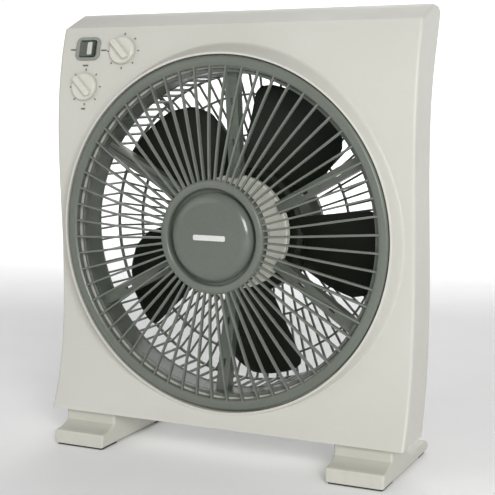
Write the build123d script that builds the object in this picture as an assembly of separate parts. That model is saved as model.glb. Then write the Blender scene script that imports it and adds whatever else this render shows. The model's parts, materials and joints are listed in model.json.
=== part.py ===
"""Box fan, 300 mm class, with a rotating louver grille, a timer and three speeds.

The parts are drawn in the fan frame: the fan axis is Y, the front faces -Y, Z is up,
and the origin is on the fan axis in the plane of the grille rim. Depth means Y.
Every part is moved to the standing frame as it is exported: the floor is Z = 0 and
the origin is under the middle of the whole object.
"""
from build123d import *
import os
from math import atan2, cos, radians, sin

# ---------------------------------------------------------------- driving dimensions
WIDTH = 361.6              # housing, side to side
WALL = 2.6                 # moulded wall of the housing
BOTTOM = -178.0            # underside of the housing
FLOOR = -210.0             # what the feet stand on
TOE_DEPTH = -20.8          # most forward point of the feet
BACK_DEPTH = 125.2         # most rearward point, the motor cover

# side outline of the housing as (depth, height)
FRONT_LINE = [
    (-6.5, BOTTOM), (9.3, -131), (15.4, -85), (16.2, -10), (13.2, 92), (18.2, 145), (30.5, 191.5)]
REAR_LINE = [
    (80, 196), (72, 173), (61.5, 140), (55.8, 96), (60, 0), (62.5, -80), (57, -133), (44.5, BOTTOM)]
TOP_BEVEL_END = (63, 205.5)
TOP_REAR = (75.5, 205)

RIM_R = 162.0              # rotating grille, outside
RIM_IN_R = 152.4
RECESS_R = 163.3           # round seat in the housing that the grille turns in
SEAT_DEPTH = 8.6           # floor of that seat
SEAT_BACK = 12.6
DUCT_R = 151.0             # opening in the seat's floor
COLLAR_TOP_R = 165.3       # raised collar round the grille, at its front edge
COLLAR_BASE_R = 173.5      # and at its foot
COLLAR_TOP = 0.5
COLLAR_BASE = 26.0

SPOKES = 60                # grille vanes
SPOKE_T = 2.0
HUB_RING_R = 51.8
HUB_RING_IN_R = 44.0
CAP_R = 40.7

STRUTS = 6                 # fixed spider behind the grille
STRUT_START = 28.0         # polar angle of the first strut, degrees
STRUT_W = 12.0
SPIDER_DISC_R = 53.0
SPIDER_FRONT = 38.5
SPIDER_BACK = 41.5
SPIDER_RING_R = 150.2
SPIDER_RING_IN_R = 147.6
SPIDER_SCREW_R = 156.0

BLADES = 5
BLADE_START = 60.5         # polar angle of the middle of the first blade
BLADE_TIP_R = 140.0
BLADE_HUB_R = 62.0
BLADE_T = 2.4
BLADE_MIDDLE = 63.0        # depth of the blades' middle
BLADE_PITCH = ((56, 36.0), (100, 23.0), (150, 14.0))   # pitch in degrees at three radii

PANEL_FRONT = 32.0         # back panel
PANEL_BACK = 34.5
GUARD_FLANGE_R = 160.0
GUARD_R = 149.5            # basket guard, outside of its side wall
GUARD_IN_R = 147.0
GUARD_FLANGE_FRONT = 34.6
GUARD_FLANGE_BACK = 37.0
GUARD_CORNER = 76.0        # depth where the side wall turns into the back
GUARD_CENTRE = 113.4       # front face of the centre plate
GUARD_PLATE_R = 55.0
GUARD_PLATE_BACK = 115.8
GUARD_BARS = 84
GUARD_BAR_T = 2.0
GUARD_HOOPS = (128.0, 90.0)    # radii of the hoops that tie the bars together
GUARD_SCREW_R = 155.5
MOTOR_LUG_R = 33.0             # screws through the centre plate into the motor

SHAFT_R = 4.0
RUNNING = 0.04             # radial clearance of a shaft in its bush
MOTOR_R = 44.0
ROTOR_R = 17.6
STATOR_FRONT = 90.0
STATOR_BACK = 102.0
COVER_R = 48.0

FOOT_X = 141.0             # middle of each foot
FOOT_W = 55.0
FOOT_BOTTOM = -208.2
TAIL_DEPTH = 109.0

SPEED_AT = (-111.0, 168.6)     # controls on the front face as (x, height)
TIMER_AT = (-150.0, 135.0)
SWITCH_AT = (-150.0, 171.0)
KNOB_R = 13.2
KNOB_GAP = 0.6
ROCKER_REST = 8.0              # degrees that the rocker leans at rest

POCKET = (-167.5, -86.0, 115.0, 189.0)   # control pocket in the back panel: x, x, z, z
POCKET_CORNER_R = 168.0                  # round cut that keeps the pocket off the fan
POCKET_BACK = 60.0
GLAND_AT = (-152.0, 133.0)               # mains inlet in the cover, as (x, height)

LEAD_R = 182.0                           # where the motor lead leaves the cover: radius and angle
LEAD_ANGLE = 130.0
LOUVER_LEAD_ANGLE = 148.0                # strut that the louver motor's lead follows
LOUVER_LEAD_EXIT = 17.5                  # depth where it passes the duct ring

STAND = Location((0, -(TOE_DEPTH + BACK_DEPTH) / 2, -FLOOR))   # fan frame to standing frame


# ---------------------------------------------------------------- small helpers
def turned(points):
    """Solid of revolution about the fan axis, from corners given as (radius, depth)."""
    return revolve(make_face(Polyline(*points, close=True)), Axis.Y, 360)


def ring(outer, inner, front, back):
    """Plain ring about the fan axis."""
    return turned([(inner, front), (outer, front), (outer, back), (inner, back)])


def rod(radius, front, back, x=0.0, z=0.0):
    """Round bar along the fan axis direction."""
    return Pos(x, (front + back) / 2, z) * Rot(90, 0, 0) * Cylinder(radius, back - front)


def block(x, y, z):
    """Box from three (low, high) pairs."""
    sizes = [high - low for low, high in (x, y, z)]
    middle = [(low + high) / 2 for low, high in (x, y, z)]
    return Pos(*middle) * Box(*sizes)


def spun(shape, angle):
    """Shape turned about the fan axis, counted from +X towards +Z."""
    return Rot(0, -angle, 0) * shape


def around(shape, count, start=0.0):
    """Copies of a shape, evenly spaced about the fan axis."""
    return [spun(shape, start + 360.0 * i / count) for i in range(count)]


def polar(radius, angle):
    """Point at a polar angle in the face of the fan, as (x, z)."""
    return radius * cos(radians(angle)), radius * sin(radians(angle))


def screw(thread_r, head_r, tip, seat, head_h, x=0.0, z=0.0):
    """Pan screw along depth, with its head behind the seat and a cross slot."""
    slot = block((-head_r * 0.6, head_r * 0.6), (head_h * 0.5, head_h + 1), (-0.4, 0.4))
    slots = Pos(x, seat, z) * (slot + Rot(0, 90, 0) * slot)
    return rod(thread_r, tip, seat, x, z) + rod(head_r, seat, seat + head_h, x, z) - slots


def group(shapes):
    """Separate solids in one node."""
    return Compound(children=[solid for shape in shapes for solid in shape.solids()])


def side_face(front_offset=0.0, inset=0.0, rear=None):
    """Side outline of the housing, moved in by an inset and open to a given rear depth."""
    front = [(y + front_offset, z) for y, z in FRONT_LINE]
    front[0] = (front[0][0], BOTTOM + inset)
    bevel = (TOP_BEVEL_END[0], TOP_BEVEL_END[1] - inset * 1.1)
    corner = (front[-1][0], front[-1][1] - inset * 0.9)
    front[-1] = corner
    edges = [Spline(*front), Line(corner, bevel)]
    if rear is None:
        edges += [Line(bevel, TOP_REAR), Spline(TOP_REAR, (79, 202.5), REAR_LINE[0])]
        edges += [Spline(*REAR_LINE), Line(REAR_LINE[-1], FRONT_LINE[0])]
    else:
        top = bevel[1]
        edges += [Line(bevel, (rear, top)), Line((rear, top), (rear, BOTTOM + inset))]
        edges += [Line((rear, BOTTOM + inset), front[0])]
    return Plane.YZ * make_face(edges)


def face_frame(x, z):
    """Plane on the housing's front face: its Z axis points out of the face, Y up the face."""
    line = Spline(*FRONT_LINE)
    low, high = 0.0, 1.0
    for _ in range(40):
        middle = (low + high) / 2
        low, high = (middle, high) if line.position_at(middle).Y < z else (low, middle)
    slope = line.tangent_at(low)
    tilt = atan2(slope.X, slope.Y)
    origin = (x, line.position_at(low).X, z)
    return Plane(origin=origin, x_dir=(1, 0, 0), z_dir=(0, -cos(tilt), sin(tilt)))


def post_floor(z):
    """Depth where the blind hole of a screw post starts, just behind the front wall."""
    return max(14.0, face_frame(0, z).origin.Y + WALL + 1.5)


def on_face(frame, shape):
    """A shape drawn on the face's own axes, put on the face."""
    return frame.location * shape


def post(radius, low, high):
    """Round bar along the normal of the face."""
    return Pos(0, 0, (low + high) / 2) * Cylinder(radius, high - low)


SPEED_FRAME = face_frame(*SPEED_AT)
TIMER_FRAME = face_frame(*TIMER_AT)
SWITCH_FRAME = face_frame(*SWITCH_AT)

# ---------------------------------------------------------------- fixing positions
PANEL_POSTS = [(sx * 171.5, z) for sx in (-1, 1) for z in (-165.0, -62.0, 62.0, 165.0)]
SPIDER_SCREW_ANGLES = [STRUT_START + 30 + 60 * i for i in range(STRUTS)]
GUARD_SCREW_ANGLES = [22.5 + 45 * i for i in range(8)]
COVER_SCREWS = [(-159.5, 184.5), (-90.5, 184.5), (-124.0, 119.6)]
MOTOR_LUG_ANGLES = [45 + 90 * i for i in range(4)]
FOOT_HOLES = [(sx * (FOOT_X + dx), 20.0) for sx in (-1, 1) for dx in (-18.0, 18.0)]


# ---------------------------------------------------------------- housing
def front_housing():
    """S-curved tray with the raised collar, the grille seat and its inner posts."""
    outer = extrude(side_face(), WIDTH / 2, both=True)
    outer = fillet(outer.edges().filter_by(GeomType.BSPLINE).group_by(Axis.Y)[0], 3.0)
    cavity = extrude(side_face(WALL, WALL, rear=140), WIDTH / 2 - WALL, both=True)
    body = outer - cavity - rod(RECESS_R + 1.2, -30, 60)
    collar = turned([
        (RECESS_R, COLLAR_TOP), (COLLAR_TOP_R, COLLAR_TOP), (COLLAR_BASE_R, COLLAR_BASE),
        (COLLAR_BASE_R - WALL, COLLAR_BASE), (RECESS_R + 3, 10), (RECESS_R + 3, SEAT_BACK),
        (DUCT_R, SEAT_BACK), (DUCT_R, SEAT_DEPTH), (RECESS_R, SEAT_DEPTH)])
    lip = ring(RECESS_R + WALL, RECESS_R, -20, SEAT_BACK) & outer
    posts = []
    for x, z in PANEL_POSTS:
        posts.append(rod(4.5, face_frame(x, z).origin.Y + 1.0, PANEL_FRONT, x, z))
    for x, y in FOOT_HOLES:
        posts.append(Pos(x, y, BOTTOM + 7.5) * Cylinder(4.5, 13))
    body = body + [collar, lip] + posts
    cuts = [rod(1.7, post_floor(z), PANEL_FRONT + 1, x, z) for x, z in PANEL_POSTS]
    cuts += [Pos(x, y, BOTTOM + 5) * Cylinder(1.95, 16) for x, y in FOOT_HOLES]
    cuts += [rod(1.45, 9.4, SEAT_BACK + 1, *polar(SPIDER_SCREW_R, a)) for a in SPIDER_SCREW_ANGLES]
    cuts += [on_face(f, post(4.2, -12, 3)) for f in (SPEED_FRAME, TIMER_FRAME)]
    cuts += [on_face(SWITCH_FRAME, Box(21.2, 19.0, 24))]
    return body - cuts


def back_panel():
    """Recessed rear panel with the fan opening and the control pocket."""
    outline = [(PANEL_FRONT, BOTTOM + WALL + 0.2), (PANEL_FRONT, 172), (48, 193), (50.5, 193),
               (PANEL_BACK, 171), (PANEL_BACK, BOTTOM + WALL + 0.2)]
    half = WIDTH / 2 - WALL - 0.2
    panel = extrude(Plane.YZ * make_face(Polyline(*outline, close=True)), half, both=True)
    ribs = []
    for height in (-168.0, -160.0, -152.0):
        ribs.append(block((-150, -96), (PANEL_BACK, PANEL_BACK + 2), (height - 1, height + 1)))
        ribs.append(block((96, 150), (PANEL_BACK, PANEL_BACK + 2), (height - 1, height + 1)))
    panel = panel + ribs
    x0, x1, z0, z1 = POCKET
    pocket = block((x0 + 4, x1 - 4), (20, 70), (z0 + 4, z1 - 4)) - rod(POCKET_CORNER_R + 3, 10, 80)
    pocket = pocket - [rod(4.3, 10, 80, x, z) for x, z in COVER_SCREWS]
    holes = [rod(2.0, 20, 50, x, z) for x, z in PANEL_POSTS]
    holes += [rod(1.45, 25, 40, *polar(GUARD_SCREW_R, a)) for a in GUARD_SCREW_ANGLES]
    holes += [rod(1.45, 25, 60, x, z) for x, z in COVER_SCREWS]
    return panel - [rod(GUARD_R + 1, 20, 60), pocket] - holes


def control_cover():
    """Rear lid of the control pocket, shaped round the fan opening."""
    x0, x1, z0, z1 = POCKET
    keep_off = rod(POCKET_CORNER_R, 10, 90)
    inner_cut = [rod(POCKET_CORNER_R + 3, 10, 90)] + [rod(3.6, 10, 90, x, z) for x, z in COVER_SCREWS]
    front = PANEL_BACK + 0.1
    slope = Polyline((front, z0 - 5), (front, 171.1), (49.2, 190), (90, 190), (90, z0 - 5), close=True)
    behind = extrude(Plane.YZ * make_face(slope), 200, both=True)
    shell = block((x0, x1), (PANEL_BACK, POCKET_BACK), (z0, z1)) - keep_off
    hollow = block((x0 + 3, x1 - 3), (10, POCKET_BACK - 2), (z0 + 3, z1 - 3)) - inner_cut
    cover = (shell & behind) - hollow
    cuts = [rod(1.6, 20, 80, x, z) for x, z in COVER_SCREWS]
    cuts += [rod(5.2, POCKET_BACK - 4, POCKET_BACK + 2, *GLAND_AT)]
    cuts += [rod(3.6, POCKET_BACK - 4, POCKET_BACK + 2, *polar(LEAD_R, LEAD_ANGLE))]
    for x in (-118, -112, -106):
        cuts.append(block((x, x + 2.4), (POCKET_BACK - 4, POCKET_BACK + 2), (160, 178)))
    return cover - cuts


def cord_gland():
    """Rubber gland of the mains inlet, empty."""
    x, z = GLAND_AT
    solid = rod(5.2, POCKET_BACK - 2, POCKET_BACK, x, z) + rod(7.5, POCKET_BACK, POCKET_BACK + 2.5, x, z)
    inside = rod(7.0, POCKET_BACK - 4.5, POCKET_BACK - 2, x, z)
    nose = Pos(x, POCKET_BACK + 7.5, z) * Rot(-90, 0, 0) * Cone(5.6, 4.4, 10)
    return solid + inside + nose - rod(3.2, POCKET_BACK - 8, POCKET_BACK + 20, x, z)


def lead_grommet():
    """Small rubber ring where the motor lead leaves the control cover."""
    x, z = polar(LEAD_R, LEAD_ANGLE)
    body = rod(3.6, POCKET_BACK - 2, POCKET_BACK, x, z) + rod(5.0, POCKET_BACK, POCKET_BACK + 1.5, x, z)
    return body - rod(2.45, POCKET_BACK - 5, POCKET_BACK + 5, x, z)


def rating_plate():
    """Blank plate on the back panel."""
    return block((112, 150), (PANEL_BACK, PANEL_BACK + 0.6), (-146, -128))


def panel_screws():
    """Screws that hold the back panel to the housing."""
    return group([screw(1.65, 3.6, post_floor(z) + 0.3, PANEL_BACK, 2.2, x, z) for x, z in PANEL_POSTS])


def cover_screws():
    """Screws that hold the control cover."""
    tip = PANEL_FRONT + 0.2
    shapes = [screw(1.4, 3.0, tip, POCKET_BACK, 2.0, x, z) for x, z in COVER_SCREWS if z < 170]
    shapes += [screw(1.4, 3.0, 44.0, POCKET_BACK, 2.0, x, z) for x, z in COVER_SCREWS if z > 170]
    return group(shapes)


# ---------------------------------------------------------------- feet
def foot(side):
    """One foot: high toe, neck under the housing and a long thin tail."""
    toe, low, neck_front, neck_back = TOE_DEPTH, FOOT_BOTTOM, 0.8, 44.0
    edges = [
        Line((toe, low), (toe, -197.6)),
        ThreePointArc((toe, -197.6), (toe + 0.9, -195.6), (toe + 3, -194.9)),
        ThreePointArc((toe + 3, -194.9), (-7, -193.2), (neck_front, -189.6)),
        Line((neck_front, -189.6), (neck_front, BOTTOM)),
        Line((neck_front, BOTTOM), (neck_back, BOTTOM)),
        Line((neck_back, BOTTOM), (neck_back, -190)),
        ThreePointArc((neck_back, -190), (52, -195.6), (64, -197.4)),
        Line((64, -197.4), (TAIL_DEPTH - 4, -198.4)),
        ThreePointArc((TAIL_DEPTH - 4, -198.4), (TAIL_DEPTH, -203.3), (TAIL_DEPTH - 4, low)),
        Line((TAIL_DEPTH - 4, low), (toe, low))]
    body = extrude(Plane.YZ * make_face(edges), FOOT_W / 2, both=True)
    body = fillet(body.edges().filter_by(Axis.X).group_by(Axis.Z)[-1], 0.4)
    body = Pos(side * FOOT_X, 0, 0) * body
    cuts = []
    for x, y in FOOT_HOLES:
        cuts.append(Pos(x, y, -190) * Cylinder(2.1, 50))
        cuts.append(Pos(x, y, -205) * Cylinder(4.4, 10))
    return body - cuts - sole_shapes()


def sole_shapes():
    """Rubber soles under toes and tails, as plain slabs set into the feet."""
    shapes = []
    for side in (-1, 1):
        x = (side * FOOT_X - 25.5, side * FOOT_X + 25.5)
        shapes.append(block(x, (TOE_DEPTH + 1.4, 9), (FLOOR, FOOT_BOTTOM + 1.2)))
        shapes.append(block(x, (84, TAIL_DEPTH - 6), (FLOOR, FOOT_BOTTOM + 1.2)))
    return shapes


def sole_pads():
    """The rubber soles as one group."""
    return group([fillet(pad.edges().filter_by(Axis.Z), 2.0) for pad in sole_shapes()])


def foot_screws():
    """Screws from below, through the feet into the housing."""
    one = screw(1.9, 4.0, -34.0, 0.0, 3.0)
    return group([Pos(x, y, -200) * Rot(-90, 0, 0) * one for x, y in FOOT_HOLES])


# ---------------------------------------------------------------- spider and louver drive
def spider_frame():
    """Fixed inner frame: duct ring, six struts and the disc that carries the louver motor."""
    hoop = turned([
        (SPIDER_RING_IN_R, SEAT_BACK + 0.1), (158, SEAT_BACK + 0.1), (158, 15), (SPIDER_RING_R, 15),
        (SPIDER_RING_R, PANEL_BACK - 0.1), (SPIDER_RING_IN_R, PANEL_BACK - 0.1)])
    disc = ring(SPIDER_DISC_R, 6.0, SPIDER_FRONT, SPIDER_BACK)
    rim = ring(SPIDER_DISC_R, SPIDER_DISC_R - 3, SPIDER_FRONT - 2.5, SPIDER_BACK)
    web = make_face(Polyline((51, 32.5), (148, 17), (148, 28), (51, 41.5), close=True))
    strut = extrude(web, STRUT_W / 2, both=True)
    groove = extrude(make_face(Polyline((58, 36.5), (142, 22.5), (142, 40), (58, 50), close=True)),
                     STRUT_W / 2 - 2.2, both=True)
    slots = [block((r, r + 7), (0, 60), (-1.1, 1.1)) for r in (80, 118)]
    strut = strut - groove - slots
    body = hoop + [disc, rim] + around(strut, STRUTS, STRUT_START)
    cuts = [rod(1.6, 5, 20, *polar(SPIDER_SCREW_R, a)) for a in SPIDER_SCREW_ANGLES]
    cuts += [rod(1.45, 30, 50, x, 0) for x in (-31, 31)]
    channel = (LOUVER_LEAD_EXIT - 2.4, LOUVER_LEAD_EXIT + 1.7)
    cuts += [spun(block((128, 153), channel, (-1.5, 1.5)), LOUVER_LEAD_ANGLE)]
    return body - cuts


def spider_screws():
    """Screws that hold the spider to the housing's seat."""
    return group([screw(1.4, 3.0, 9.8, 15, 2.0, *polar(SPIDER_SCREW_R, a)) for a in SPIDER_SCREW_ANGLES])


def louver_motor():
    """Synchronous gear motor that turns the grille, in its closed can."""
    can = turned([
        (3.56, 17), (8, 17), (8, 20.5), (22.5, 20.5), (25, 22.5), (25, SPIDER_FRONT), (3.56, SPIDER_FRONT)])
    ears = block((-35, 35), (SPIDER_FRONT - 1.2, SPIDER_FRONT), (-5, 5)) - rod(24, 30, 45)
    socket = block((-6, 6), (26, 34), (20, 28)) - rod(24, 20, 40)
    core = ring(22, 3.56, 27, SPIDER_FRONT)
    return can + [ears, spun(socket, 58), core] - [rod(1.6, 30, 50, x, 0) for x in (-31, 31)]


def louver_motor_screws():
    """Two screws through the motor's ears."""
    one = rod(1.4, SPIDER_FRONT - 1.2, SPIDER_BACK) + rod(2.8, SPIDER_FRONT - 3.2, SPIDER_FRONT - 1.2)
    return group([Pos(x, 0, 0) * one for x in (-31, 31)])


def lead(points, radii, radius):
    """Round lead in the plane of the fan axis, from (radius, depth) points."""
    path = FilletPolyline(*points, radius=radii)
    start = Plane(origin=path @ 0, z_dir=path % 0)
    return sweep(start * Circle(radius), path=path)


def louver_lead():
    """Thin lead from the louver motor out along one strut and through the duct ring."""
    out = LOUVER_LEAD_EXIT
    points = [(28.3, 30.6), (50.0, 30.6), (134.0, out), (163.3, out)]
    return spun(lead(points, [40.0, 60.0], 1.3), LOUVER_LEAD_ANGLE)


def louver_shaft():
    """Output shaft of the louver motor, keyed in the grille's hub."""
    return rod(3.5, -5.0, 26.5) - rod(1.5, -6, 6)


# ---------------------------------------------------------------- rotating grille
def louver_grille():
    """Rim, radial vanes and hub dish in one moulding."""
    rim = turned([
        (RIM_IN_R, 1.6), (RIM_IN_R + 1.6, 0.2), (RIM_IN_R + 4, -0.2), (RIM_R - 1.8, 0.3), (RIM_R, 1.8),
        (RIM_R, 7.0), (RIM_R - 2.2, 7.0), (RIM_R - 2.2, 3), (RIM_IN_R + 2.2, 3), (RIM_IN_R + 2.2, 7.0),
        (RIM_IN_R, 7.0)])
    hub = turned([
        (3.5, -6), (HUB_RING_IN_R, -6), (HUB_RING_IN_R, -12.6), (HUB_RING_IN_R + 1.2, -14.2), (48, -14.8),
        (HUB_RING_R - 1.2, -14), (HUB_RING_R, -12), (HUB_RING_R, -3.5), (8, -3.5), (8, 12), (3.5, 12)])
    vane_edges = [
        ThreePointArc((50.5, -12.2), (103, -7.2), (153.4, 1.2)), Line((153.4, 1.2), (153.4, 5.2)),
        ThreePointArc((153.4, 5.2), (103, -3.2), (50.5, -8.0)), Line((50.5, -8.0), (50.5, -12.2))]
    vane = extrude(make_face(vane_edges), SPOKE_T / 2, both=True)
    return hub + [rim] + around(vane, SPOKES, 3.0)


def hub_cap():
    """Domed centre cap, a thin shell with a rolled edge."""
    edges = [
        ThreePointArc((0, -17.4), (20, -17.0), (36.0, -15.6)),
        ThreePointArc((36.0, -15.6), (39.4, -14.0), (CAP_R, -11.0)),
        Line((CAP_R, -11.0), (CAP_R, -6.05)), Line((CAP_R, -6.05), (CAP_R - 2, -6.05)),
        Line((CAP_R - 2, -6.05), (CAP_R - 2, -11.0)), Line((CAP_R - 2, -11.0), (35.0, -13.6)),
        Line((35.0, -13.6), (0, -15.2)), Line((0, -15.2), (0, -17.4))]
    return revolve(make_face(edges), Axis.Y, 360)


def cap_badge():
    """Blank raised bar on the cap."""
    bar = block((-16, 16), (-18.0, -17.0), (-2.5, 2.5))
    return fillet(bar.edges().filter_by(Axis.Y), 1.0) - hub_cap()


def grille_screw():
    """Screw that holds the grille on the louver shaft."""
    return rod(1.5, -6, 5) + rod(4.2, -8.4, -6) - block((-3, 3), (-9, -7.4), (-0.5, 0.5))


# ---------------------------------------------------------------- fan and motor
def fan_blades():
    """Five swept blades on a cup-shaped hub."""
    hub = turned([
        (SHAFT_R, 50), (58, 50), (BLADE_HUB_R, 53), (BLADE_HUB_R, 78), (BLADE_HUB_R - 2.5, 78),
        (BLADE_HUB_R - 2.5, 54), (57, 52.6), (9, 52.6), (9, 72), (SHAFT_R, 72)])
    sections = []
    for radius, pitch in BLADE_PITCH:
        plane = Plane(origin=(radius, BLADE_MIDDLE, 0), x_dir=(0, 0, 1), z_dir=(1, 0, 0))
        sections.append(plane * Rot(0, 0, pitch) * Rectangle(1.3 * radius, BLADE_T))
    slab = loft(sections)
    inner, outer = BLADE_HUB_R - 1.2, BLADE_TIP_R
    front_edge = Spline(
        polar(inner, -26), polar(90, -24), polar(118, -20), polar(132, -14), polar(outer, -6))
    tip = ThreePointArc(polar(outer, -6), polar(outer, 7), polar(outer, 18))
    back_edge = Spline(polar(outer, 18), polar(136, 22), polar(104, 23), polar(inner, 26))
    root = Line(polar(inner, 26), polar(inner, -26))
    footprint = extrude(Plane.XZ * make_face([front_edge, tip, back_edge, root]), 120, both=True)
    blade = (slab & footprint) - rod(BLADE_HUB_R - 1.2, 40, 100)
    return hub + around(blade, BLADES, BLADE_START)


def blade_nut():
    """Domed nut that locks the blades on the shaft."""
    dome = turned([
        (0, 43.0), (7, 43.6), (11, 46), (11, 49.9), (SHAFT_R, 49.9), (SHAFT_R, 45), (0, 45)])
    return dome - around(rod(1.2, 40, 52, 11.6, 0), 12)


def motor_shaft():
    """Fan shaft, ground steel."""
    return rod(SHAFT_R, 45.1, 112)


def rotor_core():
    """Squirrel-cage rotor with its end rings."""
    return turned([
        (SHAFT_R, 88), (8, 88), (8, 86), (16, 86), (ROTOR_R, 88), (ROTOR_R, 104), (16, 106), (8, 106),
        (8, 104), (SHAFT_R, 104)])


def thrust_washers():
    """Thrust washers on the shaft, one at each end of the rotor."""
    return group([ring(7.5, SHAFT_R, 85.0, 86.0), ring(7.5, SHAFT_R, 106.0, 107.0)])


def bush(front, back):
    """Sintered sleeve bush."""
    return ring(8.0, SHAFT_R + RUNNING, front, back)


def motor_front_bell():
    """Front end shield of the motor."""
    shell = turned([
        (8, 75), (13, 75), (13, 79.5), (40, 81.5), (MOTOR_R, 85.5), (MOTOR_R, STATOR_FRONT),
        (42, STATOR_FRONT), (42, 87), (38.5, 84), (13, 82), (13, 84), (8, 84)])
    seats = [rod(4, 80.5, 86, *polar(40, a + 45)) for a in MOTOR_LUG_ANGLES]
    vents = around(block((20, 34), (78, 86), (-1.6, 1.6)), 12)
    return shell + seats - [rod(1.75, 70, 95, *polar(40, a + 45)) for a in MOTOR_LUG_ANGLES] - vents


def motor_rear_bell():
    """Rear end shield with four mounting lugs."""
    shell = turned([
        (MOTOR_R, STATOR_BACK), (MOTOR_R, 106.5), (40, 110.5), (13, 112), (13, GUARD_CENTRE),
        (8, GUARD_CENTRE), (8, 108), (13, 108), (13, 109.8), (38.5, 108), (42, 105), (42, STATOR_BACK)])
    lugs = [rod(5, 106.9, GUARD_CENTRE, *polar(MOTOR_LUG_R, a)) for a in MOTOR_LUG_ANGLES]
    ends = [rod(4, 105, 110.5, *polar(40, a + 45)) for a in MOTOR_LUG_ANGLES]
    cuts = [rod(1.7, 106, 115, *polar(MOTOR_LUG_R, a)) for a in MOTOR_LUG_ANGLES]
    cuts += [rod(1.75, 95, 109, *polar(40, a + 45)) for a in MOTOR_LUG_ANGLES]
    return shell + lugs + ends - cuts


def stator_core():
    """Laminated stator."""
    bolts = [rod(1.75, 80, 110, *polar(40, a + 45)) for a in MOTOR_LUG_ANGLES]
    slots = around(block((17, 24), (80, 110), (-1.0, 1.0)), 16, 11.25)
    return ring(MOTOR_R, 18.0, STATOR_FRONT, STATOR_BACK) - bolts - slots


def stator_windings():
    """Coil heads in front of and behind the stator."""
    front = turned([(23, 90), (21.5, 87.5), (23.5, 85.6), (34, 85.6), (36, 87.5), (35, 90)])
    back = turned([(23, 102), (21.5, 104.5), (23.5, 106.4), (34, 106.4), (36, 104.5), (35, 102)])
    return group([front, back])


def motor_tie_bolts():
    """Bolts that clamp the end shields on the stator."""
    one = rod(1.7, 80.5, 108.5) + rod(3.0, 78.5, 80.5) - block((-0.4, 0.4), (77, 79.4), (-2.4, 2.4))
    places = [polar(40, a + 45) for a in MOTOR_LUG_ANGLES]
    return group([Pos(x, 0, z) * one for x, z in places])


def motor_mount_screws():
    """Screws that hang the motor on the guard's centre plate."""
    seat = GUARD_PLATE_BACK
    return group([screw(1.65, 3.4, 107.6, seat, 2.0, *polar(MOTOR_LUG_R, a)) for a in MOTOR_LUG_ANGLES])


# ---------------------------------------------------------------- rear guard
def guard_depth(radius):
    """Depth of the guard's back at a radius: a shallow cone from its corner to its plate."""
    rise = (GUARD_CENTRE - GUARD_CORNER) / (145.0 - GUARD_PLATE_R)
    return GUARD_CORNER + (145.0 - radius) * rise


def guard_bar(inner):
    """One bar of the guard: up the side wall and in along the back to a radius."""
    thick, step = 3.0, 0.25
    wall_in, wall_out = GUARD_IN_R + step, GUARD_R - step
    depth_out, depth_in = guard_depth(143.5), guard_depth(inner)
    outline = Polyline(
        (wall_in, GUARD_FLANGE_FRONT + 1), (wall_out, GUARD_FLANGE_FRONT + 1), (wall_out, GUARD_CORNER - 3),
        (145.5, GUARD_CORNER + thick), (143.5, depth_out + thick), (inner, depth_in + thick),
        (inner, depth_in), (143.5, depth_out), (wall_in, GUARD_CORNER - 3), close=True)
    return extrude(make_face(outline), GUARD_BAR_T / 2, both=True)


def rear_guard():
    """Basket guard: flange, slotted side wall, barred back and centre plate."""
    flange = ring(GUARD_FLANGE_R, GUARD_IN_R, GUARD_FLANGE_FRONT, GUARD_FLANGE_BACK)
    corner = ring(GUARD_R, GUARD_IN_R, GUARD_CORNER - 4.4, GUARD_CORNER - 1.4)
    hoops = []
    for radius in GUARD_HOOPS:
        depth = guard_depth(radius)
        hoops.append(ring(radius + 1.0, radius - 1.0, depth - 0.3, depth + 3.3))
    plate = ring(GUARD_PLATE_R, 14, GUARD_CENTRE, GUARD_PLATE_BACK)
    rim = ring(GUARD_PLATE_R + 3, GUARD_PLATE_R - 2, GUARD_CENTRE - 2.2, GUARD_PLATE_BACK + 1.4)
    step = 360.0 / GUARD_BARS
    long_bars = around(guard_bar(GUARD_PLATE_R), GUARD_BARS // 2, 1.5)
    short_bars = around(guard_bar(GUARD_HOOPS[1]), GUARD_BARS // 2, 1.5 + step)
    guard = flange + [corner, plate, rim] + hoops + long_bars + short_bars
    holes = [rod(1.6, 30, 45, *polar(GUARD_SCREW_R, a)) for a in GUARD_SCREW_ANGLES]
    holes += [rod(2.1, 110, 120, *polar(MOTOR_LUG_R, a)) for a in MOTOR_LUG_ANGLES]
    notch = block((GUARD_PLATE_R - 4, GUARD_PLATE_R + 6), (GUARD_PLATE_BACK + 0.05, 121), (-2.7, 2.7))
    return guard - holes - spun(notch, LEAD_ANGLE)


def guard_screws():
    """Screws that hold the guard's flange on the back panel."""
    places = [polar(GUARD_SCREW_R, a) for a in GUARD_SCREW_ANGLES]
    return group([screw(1.4, 3.2, 32.2, GUARD_FLANGE_BACK, 2.0, x, z) for x, z in places])


def motor_cover():
    """Vented dome over the motor's fixing screws."""
    dome = turned([
        (0, BACK_DEPTH), (30, BACK_DEPTH - 0.8), (42, BACK_DEPTH - 3), (COVER_R, 119),
        (COVER_R, GUARD_PLATE_BACK), (COVER_R - 2, GUARD_PLATE_BACK), (COVER_R - 2, 118.4),
        (41, 120.3), (29, 122.4), (0, BACK_DEPTH - 2)])
    vents = around(block((14, 36), (110, 130), (-1.4, 1.4)), 18)
    return dome - vents


def motor_lead():
    """Lead from the control cover back over the guard to the motor cover."""
    points = [(LEAD_R, 58.2), (LEAD_R, 78.0), (156.0, 84.0), (104.0, guard_depth(104) + 6.6),
              (65.0, guard_depth(65) + 9.2), (COVER_R + 0.6, 118.4)]
    return spun(lead(points, [10.0, 30.0, 60.0, 16.0], 2.3), LEAD_ANGLE)


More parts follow.
